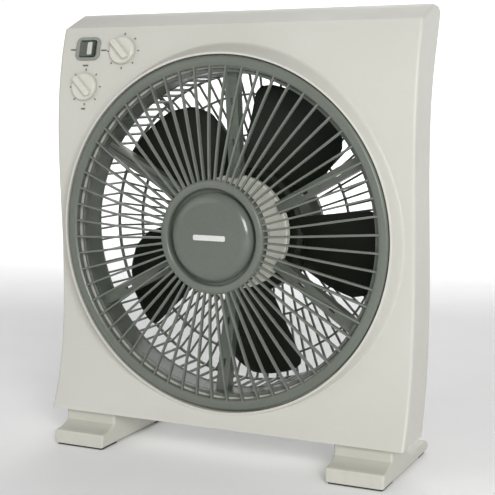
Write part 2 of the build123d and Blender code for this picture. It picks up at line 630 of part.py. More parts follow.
# ---------------------------------------------------------------- controls
def knob(height):
    """Turned knob with a bar grip that runs from upper left to lower right."""
    skirt = post(KNOB_R, KNOB_GAP, 5.0)
    skirt = fillet(skirt.edges().group_by(Axis.Z)[-1], 1.6)
    grip = Pos(0, 0, (4.0 + height) / 2) * Box(2 * KNOB_R - 2.4, 6.4, height - 4.0)
    grip = fillet(grip.edges().group_by(Axis.Z)[-1], 1.8)
    pointer = Pos(-8.6, 0, height + 0.1) * Box(5.0, 1.2, 0.6)
    return Rot(0, 0, -45) * (skirt + grip + pointer) - post(3.0, -1, 7.5)


def speed_knob():
    """Knob of the speed switch."""
    return on_face(SPEED_FRAME, knob(10.5))


def timer_knob():
    """Knob of the timer."""
    return on_face(TIMER_FRAME, knob(9.5))


def spindle(frame, inner_end):
    """Control spindle with a flat at its knob end and a small cam inside."""
    cam = post(5.5, inner_end, inner_end + 2.5)
    return on_face(frame, post(3.0, inner_end, 7.4) + cam)


def switch_case(frame, width, height, depth, spindle_end):
    """Closed case behind the front face, with a bushing and a chamber for the spindle's cam."""
    case = Pos(0, 0, -WALL - 0.9 - depth / 2) * Box(width, height, depth)
    case = fillet(case.edges().filter_by(Axis.Z), 2.0)
    terminals = [Pos(dx, 0, -WALL - 0.9 - depth - 2.0) * Box(1.0, 5.0, 4.2) for dx in (-8, 0, 8)]
    chamber = post(5.6, spindle_end - 0.1, spindle_end + 2.6)
    return on_face(frame, case + terminals - [post(3.06, spindle_end, 5), chamber])


def speed_shaft():
    """Spindle of the speed switch."""
    return spindle(SPEED_FRAME, -16.0)


def speed_switch():
    """Rotary speed switch."""
    return switch_case(SPEED_FRAME, 26, 24, 16, -16.0)


def timer_shaft():
    """Spindle of the timer."""
    return spindle(TIMER_FRAME, -20.0)


def timer_unit():
    """Clockwork timer in its closed case."""
    return switch_case(TIMER_FRAME, 26, 26, 22, -20.0)


def switch_bezel():
    """Frame of the louver switch, with the collar that passes through the face."""
    flange = extrude(Plane.XY * RectangleRounded(26.6, 22.6, 6.0), 2.2)
    flange = fillet(flange.edges().group_by(Axis.Z)[-1], 0.9)
    collar = Pos(0, 0, -5) * Box(20.8, 18.6, 10)
    pin_hole = Pos(0, 0, -5) * Rot(90, 0, 0) * Cylinder(1.0, 18.2)
    return on_face(SWITCH_FRAME, flange + collar - Box(18.6, 16.4, 40) - pin_hole)


def rocker_turn():
    """Placement of the rocker on its pin at rest."""
    return Pos(0, 0, -5) * Rot(0, -ROCKER_REST, 0)


def rocker():
    """Rocker with two slanted faces, drawn about its pin."""
    outline = Polyline((-7.4, -2.6), (-7.4, 7.2), (0, 6.2), (7.4, 7.2), (7.4, -2.6), close=True)
    body = extrude(Plane.XZ * make_face(outline), 7.7, both=True)
    body = fillet(body.edges().filter_by(Axis.Z), 1.2)
    bore = Rot(90, 0, 0) * Cylinder(1.06, 30)
    return on_face(SWITCH_FRAME, rocker_turn() * (body - bore - rocker_recess()))


def rocker_recess():
    """Shallow pocket of the rocker's pad."""
    return Pos(3.8, 0, 6.7) * Rot(0, -7.7, 0) * Box(4.8, 10.0, 1.0)


def rocker_pad():
    """Pale inlay on the right half of the rocker."""
    return on_face(SWITCH_FRAME, rocker_turn() * Pos(3.8, 0, 6.91) * Rot(0, -7.7, 0) * Box(4.7, 9.9, 1.4))


def rocker_pin():
    """Steel pin of the rocker, held in the bezel's collar."""
    return on_face(SWITCH_FRAME, Pos(0, 0, -5) * Rot(90, 0, 0) * Cylinder(1.0, 18.2))


def louver_switch():
    """Contact block behind the rocker."""
    case = Pos(0, 0, -17.0) * Box(20, 16, 13.6)
    terminals = [Pos(dx, 0, -25.3) * Box(5.0, 1.0, 4.0) for dx in (-6, 6)]
    return on_face(SWITCH_FRAME, case + terminals)


def capacitor():
    """Run capacitor on the inside of the control cover."""
    can = block((-122, -96), (POCKET_BACK - 12.0, POCKET_BACK - 2), (149, 165))
    can = fillet(can.edges().filter_by(Axis.Y), 1.5)
    return can + [rod(1.2, POCKET_BACK - 15.0, POCKET_BACK - 12.0, x, 157) for x in (-113, -105)]


def terminal_block():
    """Two-way terminal block on the inside of the control cover."""
    body = block((-158, -138), (POCKET_BACK - 9.0, POCKET_BACK - 2), (152, 162))
    return body - [rod(1.6, POCKET_BACK - 12, POCKET_BACK - 5, x, 157) for x in (-153, -143)]


# ---------------------------------------------------------------- export
NODES = {
    "front_housing": front_housing, "back_panel": back_panel, "control_cover": control_cover,
    "cord_gland": cord_gland, "lead_grommet": lead_grommet, "rating_plate": rating_plate,
    "panel_screws": panel_screws, "cover_screws": cover_screws,
    "foot_left": lambda: foot(-1), "foot_right": lambda: foot(1),
    "sole_pads": sole_pads, "foot_screws": foot_screws,
    "spider_frame": spider_frame, "spider_screws": spider_screws, "louver_motor": louver_motor,
    "louver_motor_screws": louver_motor_screws, "louver_lead": louver_lead,
    "louver_shaft": louver_shaft, "louver_grille": louver_grille, "hub_cap": hub_cap,
    "cap_badge": cap_badge, "grille_screw": grille_screw,
    "fan_blades": fan_blades, "blade_nut": blade_nut, "motor_shaft": motor_shaft,
    "rotor_core": rotor_core, "thrust_washers": thrust_washers,
    "front_bush": lambda: bush(75.0, 84.0), "rear_bush": lambda: bush(108.0, 113.0),
    "motor_front_bell": motor_front_bell, "motor_rear_bell": motor_rear_bell,
    "stator_core": stator_core, "stator_windings": stator_windings,
    "motor_tie_bolts": motor_tie_bolts, "motor_mount_screws": motor_mount_screws,
    "rear_guard": rear_guard, "guard_screws": guard_screws, "motor_cover": motor_cover,
    "motor_lead": motor_lead,
    "speed_knob": speed_knob, "speed_shaft": speed_shaft, "speed_switch": speed_switch,
    "timer_knob": timer_knob, "timer_shaft": timer_shaft, "timer_unit": timer_unit,
    "switch_bezel": switch_bezel, "rocker": rocker, "rocker_pad": rocker_pad,
    "rocker_pin": rocker_pin, "louver_switch": louver_switch, "capacitor": capacitor,
    "terminal_block": terminal_block,
}

os.makedirs("parts", exist_ok=True)
for name, make in NODES.items():
    export_step(STAND * make(), f"parts/{name}.step")

for title, frame in (("speed", SPEED_FRAME), ("timer", TIMER_FRAME), ("switch", SWITCH_FRAME)):
    seat = STAND * Pos(*frame.origin)
    print(title, "seat", [round(v, 3) for v in seat.position])
    print(title, "normal", [round(v, 5) for v in frame.z_dir], "up", [round(v, 5) for v in frame.y_dir])
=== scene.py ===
"""Visual model of a box fan with a rotating louver grille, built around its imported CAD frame.

Sizes are millimetres in the fan frame: the fan axis is Y, the front faces -Y, Z is up and
the origin is on the axis in the plane of the grille's rim. Depth means Y. Each piece is
turned into metres in the frame's own coordinates when it is settled.
"""
import json
import logging
import math
from dataclasses import dataclass
from enum import Enum
from typing import Sequence

import bmesh
import bpy
import numpy as np
from mathutils import Matrix, Vector
from mathutils.bvhtree import BVHTree


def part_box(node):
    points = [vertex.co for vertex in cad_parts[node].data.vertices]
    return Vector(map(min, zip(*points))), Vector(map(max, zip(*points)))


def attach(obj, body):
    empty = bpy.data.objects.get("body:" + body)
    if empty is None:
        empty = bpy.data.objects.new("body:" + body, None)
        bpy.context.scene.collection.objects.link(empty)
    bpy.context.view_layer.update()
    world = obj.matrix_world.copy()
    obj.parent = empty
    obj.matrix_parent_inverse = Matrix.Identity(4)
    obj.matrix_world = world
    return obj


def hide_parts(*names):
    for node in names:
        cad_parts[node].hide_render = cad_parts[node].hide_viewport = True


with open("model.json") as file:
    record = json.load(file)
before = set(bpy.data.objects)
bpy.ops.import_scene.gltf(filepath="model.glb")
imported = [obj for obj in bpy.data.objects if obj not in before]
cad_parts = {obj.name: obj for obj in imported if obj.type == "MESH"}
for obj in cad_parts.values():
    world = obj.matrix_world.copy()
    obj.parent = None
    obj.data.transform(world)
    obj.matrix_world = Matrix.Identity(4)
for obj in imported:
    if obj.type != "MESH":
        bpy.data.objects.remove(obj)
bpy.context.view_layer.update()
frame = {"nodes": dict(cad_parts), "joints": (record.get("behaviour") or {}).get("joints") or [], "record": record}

LOG = logging.getLogger("box_fan")
MM = 0.001
SKIN_SEAM = 2e-3
RELIEF_DEPTH = 0.0004
Point2 = tuple[float, float]
Point3 = tuple[float, float, float]
Colour = tuple[float, float, float]
Piece = bpy.types.Object
Tree = bpy.types.NodeTree
Node = bpy.types.Node
Socket = bpy.types.NodeSocket
JOINTS = {joint["name"]: joint for joint in frame["joints"]}
FAN_PLACE = Matrix.Translation(Vector(JOINTS["grille_turn"]["pos_m"])) @ Matrix.Scale(MM, 4)


class Body(Enum):
    """CAD bodies that a piece can ride on."""

    FRAME = "frame"
    FAN = "fan_rotor"
    GRILLE = "grille_rotor"
    SPEED = "speed_dial"
    TIMER = "timer_dial"
    ROCKER = "louver_rocker"


# ---------------------------------------------------------------- shader groups
def shader_group(name: str, inputs: Sequence[tuple[str, str]],
                 outputs: Sequence[tuple[str, str]]) -> tuple[Tree, Node, Node]:
    """Makes an empty shader node group.

    Args:
        name: name of the group.
        inputs: (label, socket type) of each input.
        outputs: (label, socket type) of each output.

    Returns:
        The group, its input node and its output node.
    """
    group = bpy.data.node_groups.new(name, "ShaderNodeTree")
    for label, kind in inputs:
        group.interface.new_socket(name=label, in_out="INPUT", socket_type=kind)
    for label, kind in outputs:
        group.interface.new_socket(name=label, in_out="OUTPUT", socket_type=kind)
    return group, group.nodes.new("NodeGroupInput"), group.nodes.new("NodeGroupOutput")


def noise(tree: Tree, vector: Socket, scale: float, detail: float) -> Node:
    """Noise texture node on a vector output, at a scale per metre.

    Args:
        tree: node tree that gets the node.
        vector: output that gives the coordinates.
        scale: size of the pattern, per metre.
        detail: octaves of finer noise.

    Returns:
        The noise node.
    """
    node = tree.nodes.new("ShaderNodeTexNoise")
    node.inputs["Scale"].default_value = scale
    node.inputs["Detail"].default_value = detail
    tree.links.new(vector, node.inputs["Vector"])
    return node


def math_node(tree: Tree, kind: str, first: Socket | float, second: Socket | float) -> Node:
    """Math node whose two inputs are outputs of other nodes or plain numbers.

    Args:
        tree: node tree that gets the node.
        kind: operation.
        first: output or number of the first input.
        second: the same for the second.

    Returns:
        The math node.
    """
    node = tree.nodes.new("ShaderNodeMath")
    node.operation = kind
    for socket, value in zip(node.inputs, (first, second)):
        if isinstance(value, (int, float)):
            socket.default_value = value
        else:
            tree.links.new(value, socket)
    return node


def colour_mix(tree: Tree, factor: Socket, first: Socket | Colour, second: Socket | Colour) -> Socket:
    """Mixes two colours by a factor and returns the mixed colour's output.

    Args:
        tree: node tree that gets the node.
        factor: output with the second colour's share.
        first: output or colour at a share of 0.
        second: the same at a share of 1.

    Returns:
        The mixed colour's output.
    """
    node = tree.nodes.new("ShaderNodeMix")
    node.data_type = "RGBA"
    for label, value in (("Factor_Float", factor), ("A_Color", first), ("B_Color", second)):
        socket = next(item for item in node.inputs if item.identifier == label)
        if isinstance(value, tuple):
            socket.default_value = (*value, 1.0)
        else:
            tree.links.new(value, socket)
    return next(item for item in node.outputs if item.identifier == "Result_Color")


def remap(tree: Tree, value: Socket, low: float, high: float) -> Socket:
    """Clamped map of a value from low..high to 0..1.

    Args:
        tree: node tree that gets the node.
        value: output to map.
        low: value that becomes 0.
        high: value that becomes 1.

    Returns:
        The mapped value's output.
    """
    node = tree.nodes.new("ShaderNodeMapRange")
    node.inputs["From Min"].default_value = low
    node.inputs["From Max"].default_value = high
    tree.links.new(value, node.inputs["Value"])
    return node.outputs["Result"]


def tone_group() -> Tree:
    """Slow drift between two close tones, as in moulded plastic that has aged unevenly.

    Returns:
        The shared group.
    """
    group, source, sink = shader_group("tone_drift", [
        ("Vector", "NodeSocketVector"), ("Tint", "NodeSocketColor"), ("Shade", "NodeSocketColor")],
        [("Colour", "NodeSocketColor")])
    cloud = noise(group, source.outputs["Vector"], scale=9.0, detail=3.0)
    fleck = noise(group, source.outputs["Vector"], scale=420.0, detail=2.0)
    blend = math_node(group, "MULTIPLY_ADD", fleck.outputs["Fac"], 0.35)
    group.links.new(cloud.outputs["Fac"], blend.inputs[2])
    mask = remap(group, blend.outputs[0], low=0.45, high=0.85)
    mixed = colour_mix(group, mask, source.outputs["Tint"], source.outputs["Shade"])
    group.links.new(mixed, sink.inputs["Colour"])
    return group


def grain_group() -> Tree:
    """Fine spark-eroded grain of a mould: a height and a roughness that follows it.

    Returns:
        The shared group.
    """
    group, source, sink = shader_group("mould_grain", [
        ("Vector", "NodeSocketVector"), ("Density", "NodeSocketFloat"), ("Gloss level", "NodeSocketFloat"),
        ("Gloss swing", "NodeSocketFloat")],
        [("Height", "NodeSocketFloat"), ("Roughness", "NodeSocketFloat")])
    fine = noise(group, source.outputs["Vector"], scale=1.0, detail=2.0)
    group.links.new(source.outputs["Density"], fine.inputs["Scale"])
    broad = noise(group, source.outputs["Vector"], scale=30.0, detail=4.0)
    group.links.new(fine.outputs["Fac"], sink.inputs["Height"])
    centred = math_node(group, "SUBTRACT", broad.outputs["Fac"], 0.5)
    swing = math_node(group, "MULTIPLY_ADD", centred.outputs[0], source.outputs["Gloss swing"])
    group.links.new(source.outputs["Gloss level"], swing.inputs[2])
    group.links.new(swing.outputs[0], sink.inputs["Roughness"])
    return group


def dust_group() -> Tree:
    """Thin dust that settles on surfaces that face up.

    Returns:
        The shared group.
    """
    group, source, sink = shader_group("settled_dust", [
        ("Vector", "NodeSocketVector"), ("Colour", "NodeSocketColor"), ("Dust", "NodeSocketColor"),
        ("Amount", "NodeSocketFloat")],
        [("Colour", "NodeSocketColor"), ("Mask", "NodeSocketFloat")])
    geometry = group.nodes.new("ShaderNodeNewGeometry")
    split = group.nodes.new("ShaderNodeSeparateXYZ")
    group.links.new(geometry.outputs["Normal"], split.inputs["Vector"])
    up = remap(group, split.outputs["Z"], low=0.35, high=0.98)
    cloud = noise(group, source.outputs["Vector"], scale=55.0, detail=5.0)
    patches = remap(group, cloud.outputs["Fac"], low=0.3, high=0.75)
    mask = math_node(group, "MULTIPLY", up, patches)
    strength = math_node(group, "MULTIPLY", mask.outputs[0], source.outputs["Amount"])
    mixed = colour_mix(group, strength.outputs[0], source.outputs["Colour"], source.outputs["Dust"])
    group.links.new(mixed, sink.inputs["Colour"])
    group.links.new(strength.outputs[0], sink.inputs["Mask"])
    return group


def wear_group() -> Tree:
    """Edges rubbed a little lighter by handling.

    Returns:
        The shared group.
    """
    group, source, sink = shader_group("rubbed_edges", [
        ("Vector", "NodeSocketVector"), ("Colour", "NodeSocketColor"), ("Rubbed", "NodeSocketColor"),
        ("Amount", "NodeSocketFloat")],
        [("Colour", "NodeSocketColor")])
    geometry = group.nodes.new("ShaderNodeNewGeometry")
    convex = remap(group, geometry.outputs["Pointiness"], low=0.505, high=0.58)
    cloud = noise(group, source.outputs["Vector"], scale=160.0, detail=4.0)
    broken = remap(group, cloud.outputs["Fac"], low=0.3, high=0.7)
    mask = math_node(group, "MULTIPLY", convex, broken)
    strength = math_node(group, "MULTIPLY", mask.outputs[0], source.outputs["Amount"])
    mixed = colour_mix(group, strength.outputs[0], source.outputs["Colour"], source.outputs["Rubbed"])
    group.links.new(mixed, sink.inputs["Colour"])
    return group


TONE = tone_group()
GRAIN = grain_group()
DUST = dust_group()
WEAR = wear_group()


def use_group(tree: Tree, group: Tree, vector: Socket, values: dict[str, Socket | Colour | float]) -> Node:
    """Places a shared group in a material.

    Args:
        tree: the material's node tree.
        group: the shared group.
        vector: output that gives the coordinates.
        values: numbers, colours or outputs by input label.

    Returns:
        The group node.
    """
    node = tree.nodes.new("ShaderNodeGroup")
    node.node_tree = group
    tree.links.new(vector, node.inputs["Vector"])
    for label, value in values.items():
        if isinstance(value, tuple):
            node.inputs[label].default_value = (*value, 1.0)
        elif isinstance(value, (int, float)):
            node.inputs[label].default_value = value
        else:
            tree.links.new(value, node.inputs[label])
    return node


# ---------------------------------------------------------------- finishes
@dataclass(frozen=True)
class Finish:
    """One finish of the fan: its colours, gloss, grain, dust and wear."""

    name: str
    slot: str
    tint: Colour
    shade: Colour
    roughness: float = 0.42
    swing: float = 0.12
    density: float = 1500.0
    relief: float = 0.12
    metallic: float = 0.0
    coat: float = 0.0
    specular: float = 0.5
    dust: float = 0.0
    dust_colour: Colour = (0.45, 0.43, 0.38)
    wear: float = 0.0
    worn_colour: Colour = (0.7, 0.7, 0.66)
    bands: float = 0.0
    band_axis: str = "Y"

    def relief_height(self, tree: Tree, vector: Socket, grain: Node) -> Socket:
        """Height of the surface: the grain, with fine parallel bands where the finish has them.

        Args:
            tree: the material's node tree.
            vector: output that gives the coordinates.
            grain: the finish's grain node.

        Returns:
            The height's output.
        """
        if not self.bands:
            return grain.outputs["Height"]
        wave = tree.nodes.new("ShaderNodeTexWave")
        wave.bands_direction = self.band_axis
        wave.inputs["Scale"].default_value = self.bands
        wave.inputs["Distortion"].default_value = 0.4
        tree.links.new(vector, wave.inputs["Vector"])
        return math_node(tree, "ADD", wave.outputs["Fac"], grain.outputs["Height"]).outputs[0]

    def material(self) -> bpy.types.Material:
        """The finish's material, made on first use.

        Returns:
            The material.
        """
        found = bpy.data.materials.get(self.name)
        if found:
            return found
        made = bpy.data.materials.new(self.name)
        made.use_nodes = True
        tree = made.node_tree
        shader = tree.nodes["Principled BSDF"]
        vector = tree.nodes.new("ShaderNodeTexCoord").outputs["Object"]
        tone = use_group(tree, TONE, vector, {"Tint": self.tint, "Shade": self.shade})
        colour = tone.outputs["Colour"]
        if self.wear:
            worn = use_group(tree, WEAR, vector, {
                "Colour": colour, "Rubbed": self.worn_colour, "Amount": self.wear})
            colour = worn.outputs["Colour"]
        if self.dust:
            dusty = use_group(tree, DUST, vector, {
                "Colour": colour, "Dust": self.dust_colour, "Amount": self.dust})
            colour = dusty.outputs["Colour"]
        grain = use_group(tree, GRAIN, vector, {
            "Density": self.density, "Gloss level": self.roughness, "Gloss swing": self.swing})
        bump = tree.nodes.new("ShaderNodeBump")
        bump.inputs["Strength"].default_value = self.relief
        bump.inputs["Distance"].default_value = RELIEF_DEPTH
        tree.links.new(self.relief_height(tree, vector, grain), bump.inputs["Height"])
        tree.links.new(bump.outputs["Normal"], shader.inputs["Normal"])
        tree.links.new(colour, shader.inputs["Base Color"])
        tree.links.new(grain.outputs["Roughness"], shader.inputs["Roughness"])
        shader.inputs["Metallic"].default_value = self.metallic
        shader.inputs["Coat Weight"].default_value = self.coat
        shader.inputs["Specular IOR Level"].default_value = self.specular
        return made


HOUSING = Finish("warm_grey_moulding", "housing_plastic", (0.60, 0.595, 0.545), (0.57, 0.565, 0.51),
                 roughness=0.40, dust=0.18, wear=0.25)
FEET = Finish("foot_moulding", "foot_plastic", (0.58, 0.572, 0.51), (0.545, 0.54, 0.475),
              roughness=0.45, dust=0.2, wear=0.3)
GREY = Finish("slate_grille_moulding", "grille_plastic", (0.150, 0.168, 0.142), (0.122, 0.138, 0.115),
              roughness=0.30, dust=0.2, wear=0.3, worn_colour=(0.28, 0.30, 0.27))
CAP = Finish("polished_cap_moulding", "grille_plastic", (0.135, 0.152, 0.128), (0.112, 0.127, 0.106),
             roughness=0.2, swing=0.05, relief=0.05, coat=0.15, wear=0.2, worn_colour=(0.28, 0.30, 0.27))
# Pale disc: partly its own pale tone, partly painted light. The colour is raised well above that tone to stand in
# for the key light falling on the disc through the grille.
DISC_WITH_PAINTED_LIGHT = Finish("pale_disc_painted_light", "grille_plastic", (0.78, 0.77, 0.69), (0.72, 0.71, 0.63),
              roughness=0.32, dust=0.1)
BLADE = Finish("black_blade_moulding", "blade_plastic", (0.011, 0.015, 0.009), (0.008, 0.011, 0.007),
               roughness=0.45, specular=0.22, dust=0.04, dust_colour=(0.10, 0.10, 0.08))
KNOB = Finish("cream_knob_moulding", "knob_plastic", (0.66, 0.65, 0.585), (0.62, 0.61, 0.54),
              roughness=0.32, wear=0.3)
ROCKER = Finish("dark_rocker_moulding", "rocker_plastic", (0.085, 0.098, 0.083), (0.07, 0.08, 0.068),
                roughness=0.3, wear=0.3, worn_colour=(0.22, 0.24, 0.21))
BEZEL = Finish("sage_bezel_moulding", "rocker_plastic", (0.27, 0.29, 0.255), (0.235, 0.255, 0.222),
               roughness=0.35, wear=0.3, worn_colour=(0.45, 0.47, 0.43))
BADGE = Finish("pale_badge", "badge", (0.72, 0.72, 0.69), (0.66, 0.66, 0.63), roughness=0.28, density=900.0)
MARK = Finish("printed_dial_mark", "grille_plastic", (0.10, 0.115, 0.095), (0.13, 0.145, 0.12),
              roughness=0.5)
RUBBER = Finish("black_rubber", "rubber", (0.022, 0.022, 0.021), (0.032, 0.032, 0.03), roughness=0.75,
                relief=0.3, density=900.0)
LEAD = Finish("grey_pvc_lead", "lead_pvc", (0.16, 0.165, 0.155), (0.13, 0.135, 0.125), roughness=0.45)
SCREW = Finish("bright_screw_steel", "screw_steel", (0.62, 0.61, 0.58), (0.48, 0.47, 0.45), roughness=0.3,
               metallic=1.0, relief=0.08)
ZINC = Finish("zinc_steel", "zinc_steel", (0.55, 0.56, 0.57), (0.42, 0.43, 0.45), roughness=0.38,
              metallic=1.0, relief=0.15, density=300.0)
LAMINATION = Finish("lamination_stack", "lamination_steel", (0.26, 0.26, 0.27), (0.16, 0.155, 0.15),
                    roughness=0.45, metallic=1.0, relief=0.6, bands=320.0)
COPPER = Finish("enamelled_copper", "copper", (0.55, 0.20, 0.08), (0.42, 0.13, 0.05), roughness=0.28,
                metallic=1.0, relief=0.7, bands=260.0, band_axis="X")
BRONZE = Finish("sintered_bronze", "bronze", (0.45, 0.30, 0.14), (0.33, 0.21, 0.10), roughness=0.5,
                metallic=1.0, relief=0.3)
NYLON = Finish("natural_nylon", "nylon", (0.62, 0.60, 0.52), (0.55, 0.53, 0.45), roughness=0.5)
BLACK_CASE = Finish("black_switch_case", "switch_plastic", (0.03, 0.03, 0.032), (0.045, 0.045, 0.045),
                    roughness=0.4)
FINISHES = {finish.slot: finish for finish in (
    GREY, HOUSING, FEET, BLADE, KNOB, ROCKER, BADGE, RUBBER, LEAD, SCREW, ZINC, LAMINATION, COPPER, BRONZE,
    NYLON, BLACK_CASE)}


# ---------------------------------------------------------------- outlines
def soften(points: Sequence[Point2], radius: float, steps: int = 3) -> list[Point2]:
    """Rounds the corners of a closed outline; corners on the axis of a lathe stay.

    Args:
        points: corners as (across, along).
        radius: how far a corner is cut back.
        steps: pieces in each rounded corner.

    Returns:
        The outline with its corners as short curves.
    """
    result = []
    for i, corner in enumerate(points):
        here = np.array(corner, float)
        neighbours = (points[i - 1], points[(i + 1) % len(points)])
        arms = [np.array(neighbour, float) - here for neighbour in neighbours]
        lengths = [float(np.linalg.norm(arm)) for arm in arms]
        cut = min(radius, 0.45 * min(lengths))
        if abs(here[0]) < 1e-9 or cut < 1e-6:
            result.append((float(here[0]), float(here[1])))
            continue
        start, end = (here + arm / length * cut for arm, length in zip(arms, lengths))
        for step in range(steps + 1):
            t = step / steps
            spot = (1 - t) ** 2 * start + 2 * t * (1 - t) * here + t * t * end
            result.append((float(spot[0]), float(spot[1])))
    return result


def offset_outline(points: Sequence[Point2], distance: float) -> list[Point2]:
    """Closed outline moved inwards by a distance; the outline may run either way round.

    Args:
        points: corners of the outline.
        distance: how far each side moves.

    Returns:
        The moved outline, corner for corner.
    """
    spots = np.array(points, float)
    after = np.roll(spots, -1, axis=0)
    area = 0.5 * float(np.sum(spots[:, 0] * after[:, 1] - after[:, 0] * spots[:, 1]))
    sides = after - spots
    sides /= np.maximum(np.linalg.norm(sides, axis=1), 1e-9)[:, None]
    normals = np.stack([-sides[:, 1], sides[:, 0]], axis=1) * math.copysign(1.0, area)
    joint = normals + np.roll(normals, 1, axis=0)
    joint /= np.maximum(np.sum(joint * joint, axis=1) / 2, 0.35)[:, None]
    return [(float(x), float(y)) for x, y in spots + joint * distance]


def arc_points(centre: Point2, radius: float, first: float, last: float, steps: int) -> list[Point2]:
    """Points along an arc, with its angles in degrees."""
    angles = [math.radians(first + (last - first) * i / steps) for i in range(steps + 1)]
    return [(centre[0] + radius * math.cos(a), centre[1] + radius * math.sin(a)) for a in angles]


def curve_through(first: Point2, middle: Point2, last: Point2, steps: int) -> list[Point2]:
    """Parabola through three points.

    Args:
        first: start.
        middle: point that it passes.
        last: end.
        steps: pieces of the curve.

    Returns:
        The points, both ends among them.
    """
    spots = [np.array(p, float) for p in (first, middle, last)]
    share = float(np.linalg.norm(spots[1] - spots[0]))
    share /= share + float(np.linalg.norm(spots[2] - spots[1]))
    control = (spots[1] - (1 - share) ** 2 * spots[0] - share ** 2 * spots[2]) / (2 * share * (1 - share))
    result = []
    for i in range(steps + 1):
        t = i / steps
        spot = (1 - t) ** 2 * spots[0] + 2 * t * (1 - t) * control + t * t * spots[2]
        result.append((float(spot[0]), float(spot[1])))
    return result


def polar(radius: float, angle: float) -> Point2:
    """Point at a polar angle in degrees, as (x, z)."""
    return radius * math.cos(math.radians(angle)), radius * math.sin(math.radians(angle))


# ---------------------------------------------------------------- mesh helpers
def raw_piece(name: str, corners: Sequence[Point3], faces: Sequence[Sequence[int]],
              edges: Sequence[Sequence[int]] = ()) -> Piece:
    """New object from plain lists of corners, faces and loose edges.

    Args:
        name: name of the piece.
        corners: places of the corners.
        faces: corner numbers of each face.
        edges: corner numbers of each loose edge.

    Returns:
        The new object, at the origin.
    """
    mesh = bpy.data.meshes.new(name)
    mesh.from_pydata([tuple(c) for c in corners], list(edges), [tuple(f) for f in faces])
    piece = bpy.data.objects.new(name, mesh)
    bpy.context.scene.collection.objects.link(piece)
    return piece


def weld(piece: Piece, distance: float = 1e-4) -> Piece:
    """Merges equal corners of a closed piece and turns its faces outwards.

    Args:
        piece: the piece.
        distance: corners nearer than this become one.

    Returns:
        The same piece.
    """
    work = bmesh.new()
    work.from_mesh(piece.data)
    bmesh.ops.remove_doubles(work, verts=work.verts, dist=distance)
    bmesh.ops.dissolve_degenerate(work, edges=work.edges, dist=distance)
    bmesh.ops.recalc_face_normals(work, faces=work.faces)
    work.to_mesh(piece.data)
    work.free()
    return piece


def lathe(name: str, profile: Sequence[Point2], segments: int = 160,
          upright: bool = False) -> Piece:
    """Solid of revolution from a closed profile of (radius, along).

    Args:
        name: name of the piece.
        profile: closed outline.
        segments: steps around the axis.
        upright: turns about Z instead of the fan axis Y.

    Returns:
        The closed piece.
    """
    corners, faces = [], []
    count = len(profile)
    for i in range(segments):
        c, s = math.cos(2 * math.pi * i / segments), math.sin(2 * math.pi * i / segments)
        for radius, along in profile:
            corners.append((radius * c, radius * s, along) if upright else (radius * c, along, radius * s))
        after = (i + 1) % segments
        for k in range(count):
            nxt = (k + 1) % count
            if max(profile[k][0], profile[nxt][0]) > 1e-9:
                faces.append((i * count + k, i * count + nxt, after * count + nxt, after * count + k))
    return weld(raw_piece(name, corners, faces))


def prism(name: str, outline: Sequence[Point2], low: float, high: float, radius: float, order: str,
          steps: int = 4) -> Piece:
    """Prism whose two end edges are rounded.

    Args:
        name: name of the piece.
        outline: closed outline of its section.
        low: one end along the prism.
        high: the other end.
        radius: rounding of the end edges.
        order: which of length (t) and section (u, v) is X, Y and Z, such as "tuv".
        steps: steps in the rounding.

    Returns:
        The closed piece.
    """
    turns = [math.pi / 2 * i / steps for i in range(steps + 1)]
    loops = [(low + radius * (1 - math.sin(a)), radius * (1 - math.cos(a))) for a in reversed(turns)]
    loops += [(high - radius * (1 - math.sin(a)), radius * (1 - math.cos(a))) for a in turns]
    corners, faces = [], []
    count = len(outline)
    for along, inset in loops:
        for u, v in (offset_outline(outline, inset) if inset else outline):
            values = {"t": along, "u": u, "v": v}
            corners.append(tuple(values[letter] for letter in order))
    for i in range(len(loops) - 1):
        for k in range(count):
            nxt = (k + 1) % count
            faces.append((i * count + k, i * count + nxt, (i + 1) * count + nxt, (i + 1) * count + k))
    faces.append(tuple(range(count)))
    faces.append(tuple(range((len(loops) - 1) * count, len(loops) * count)))
    return weld(raw_piece(name, corners, faces))


def rounded_rectangle(width: float, height: float, radius: float, steps: int = 5) -> list[Point2]:
    """Closed outline of a rectangle with round corners, about the origin.

    Args:
        width: full width.
        height: full height.
        radius: corner radius.
        steps: pieces of each corner.

    Returns:
        The outline, the same way round as angles grow.
    """
    points = []
    for k, (sx, sy) in enumerate(((1, 1), (-1, 1), (-1, -1), (1, -1))):
        centre = (sx * (width / 2 - radius), sy * (height / 2 - radius))
        points += arc_points(centre, radius, 90.0 * k, 90.0 * k + 90.0, steps)
    return points


def loft_ring(name: str, loops: Sequence[tuple[Sequence[Point2], float]]) -> Piece:
    """Closed ring through loops of equal length, each with its height, joined last to first.

    Args:
        name: name of the piece.
        loops: (outline, height) of each loop.

    Returns:
        The closed ring.
    """
    corners = [(x, y, height) for outline, height in loops for x, y in outline]
    count, total = len(loops[0][0]), len(loops)
    faces = []
    for i in range(total):
        for k in range(count):
            a, b = i * count, ((i + 1) % total) * count
            nxt = (k + 1) % count
            faces.append((a + k, a + nxt, b + nxt, b + k))
    return weld(raw_piece(name, corners, faces))


def joined(name: str, parts: Sequence[Piece]) -> Piece:
    """One piece from several; the parts are removed.

    Args:
        name: name of the new piece.
        parts: pieces to join.

    Returns:
        The new piece.
    """
    work = bmesh.new()
    for part in parts:
        work.from_mesh(part.data)
    piece = raw_piece(name, [], [])
    work.to_mesh(piece.data)
    work.free()
    for part in parts:
        bpy.data.objects.remove(part)
    return piece


def bake(piece: Piece) -> Piece:
    """Turns the piece's modifiers into plain mesh.

    Args:
        piece: piece with live modifiers.

    Returns:
        The same piece without them.
    """
    graph = bpy.context.evaluated_depsgraph_get()
    mesh = bpy.data.meshes.new_from_object(piece.evaluated_get(graph))
    piece.modifiers.clear()
    piece.data = mesh
    return piece


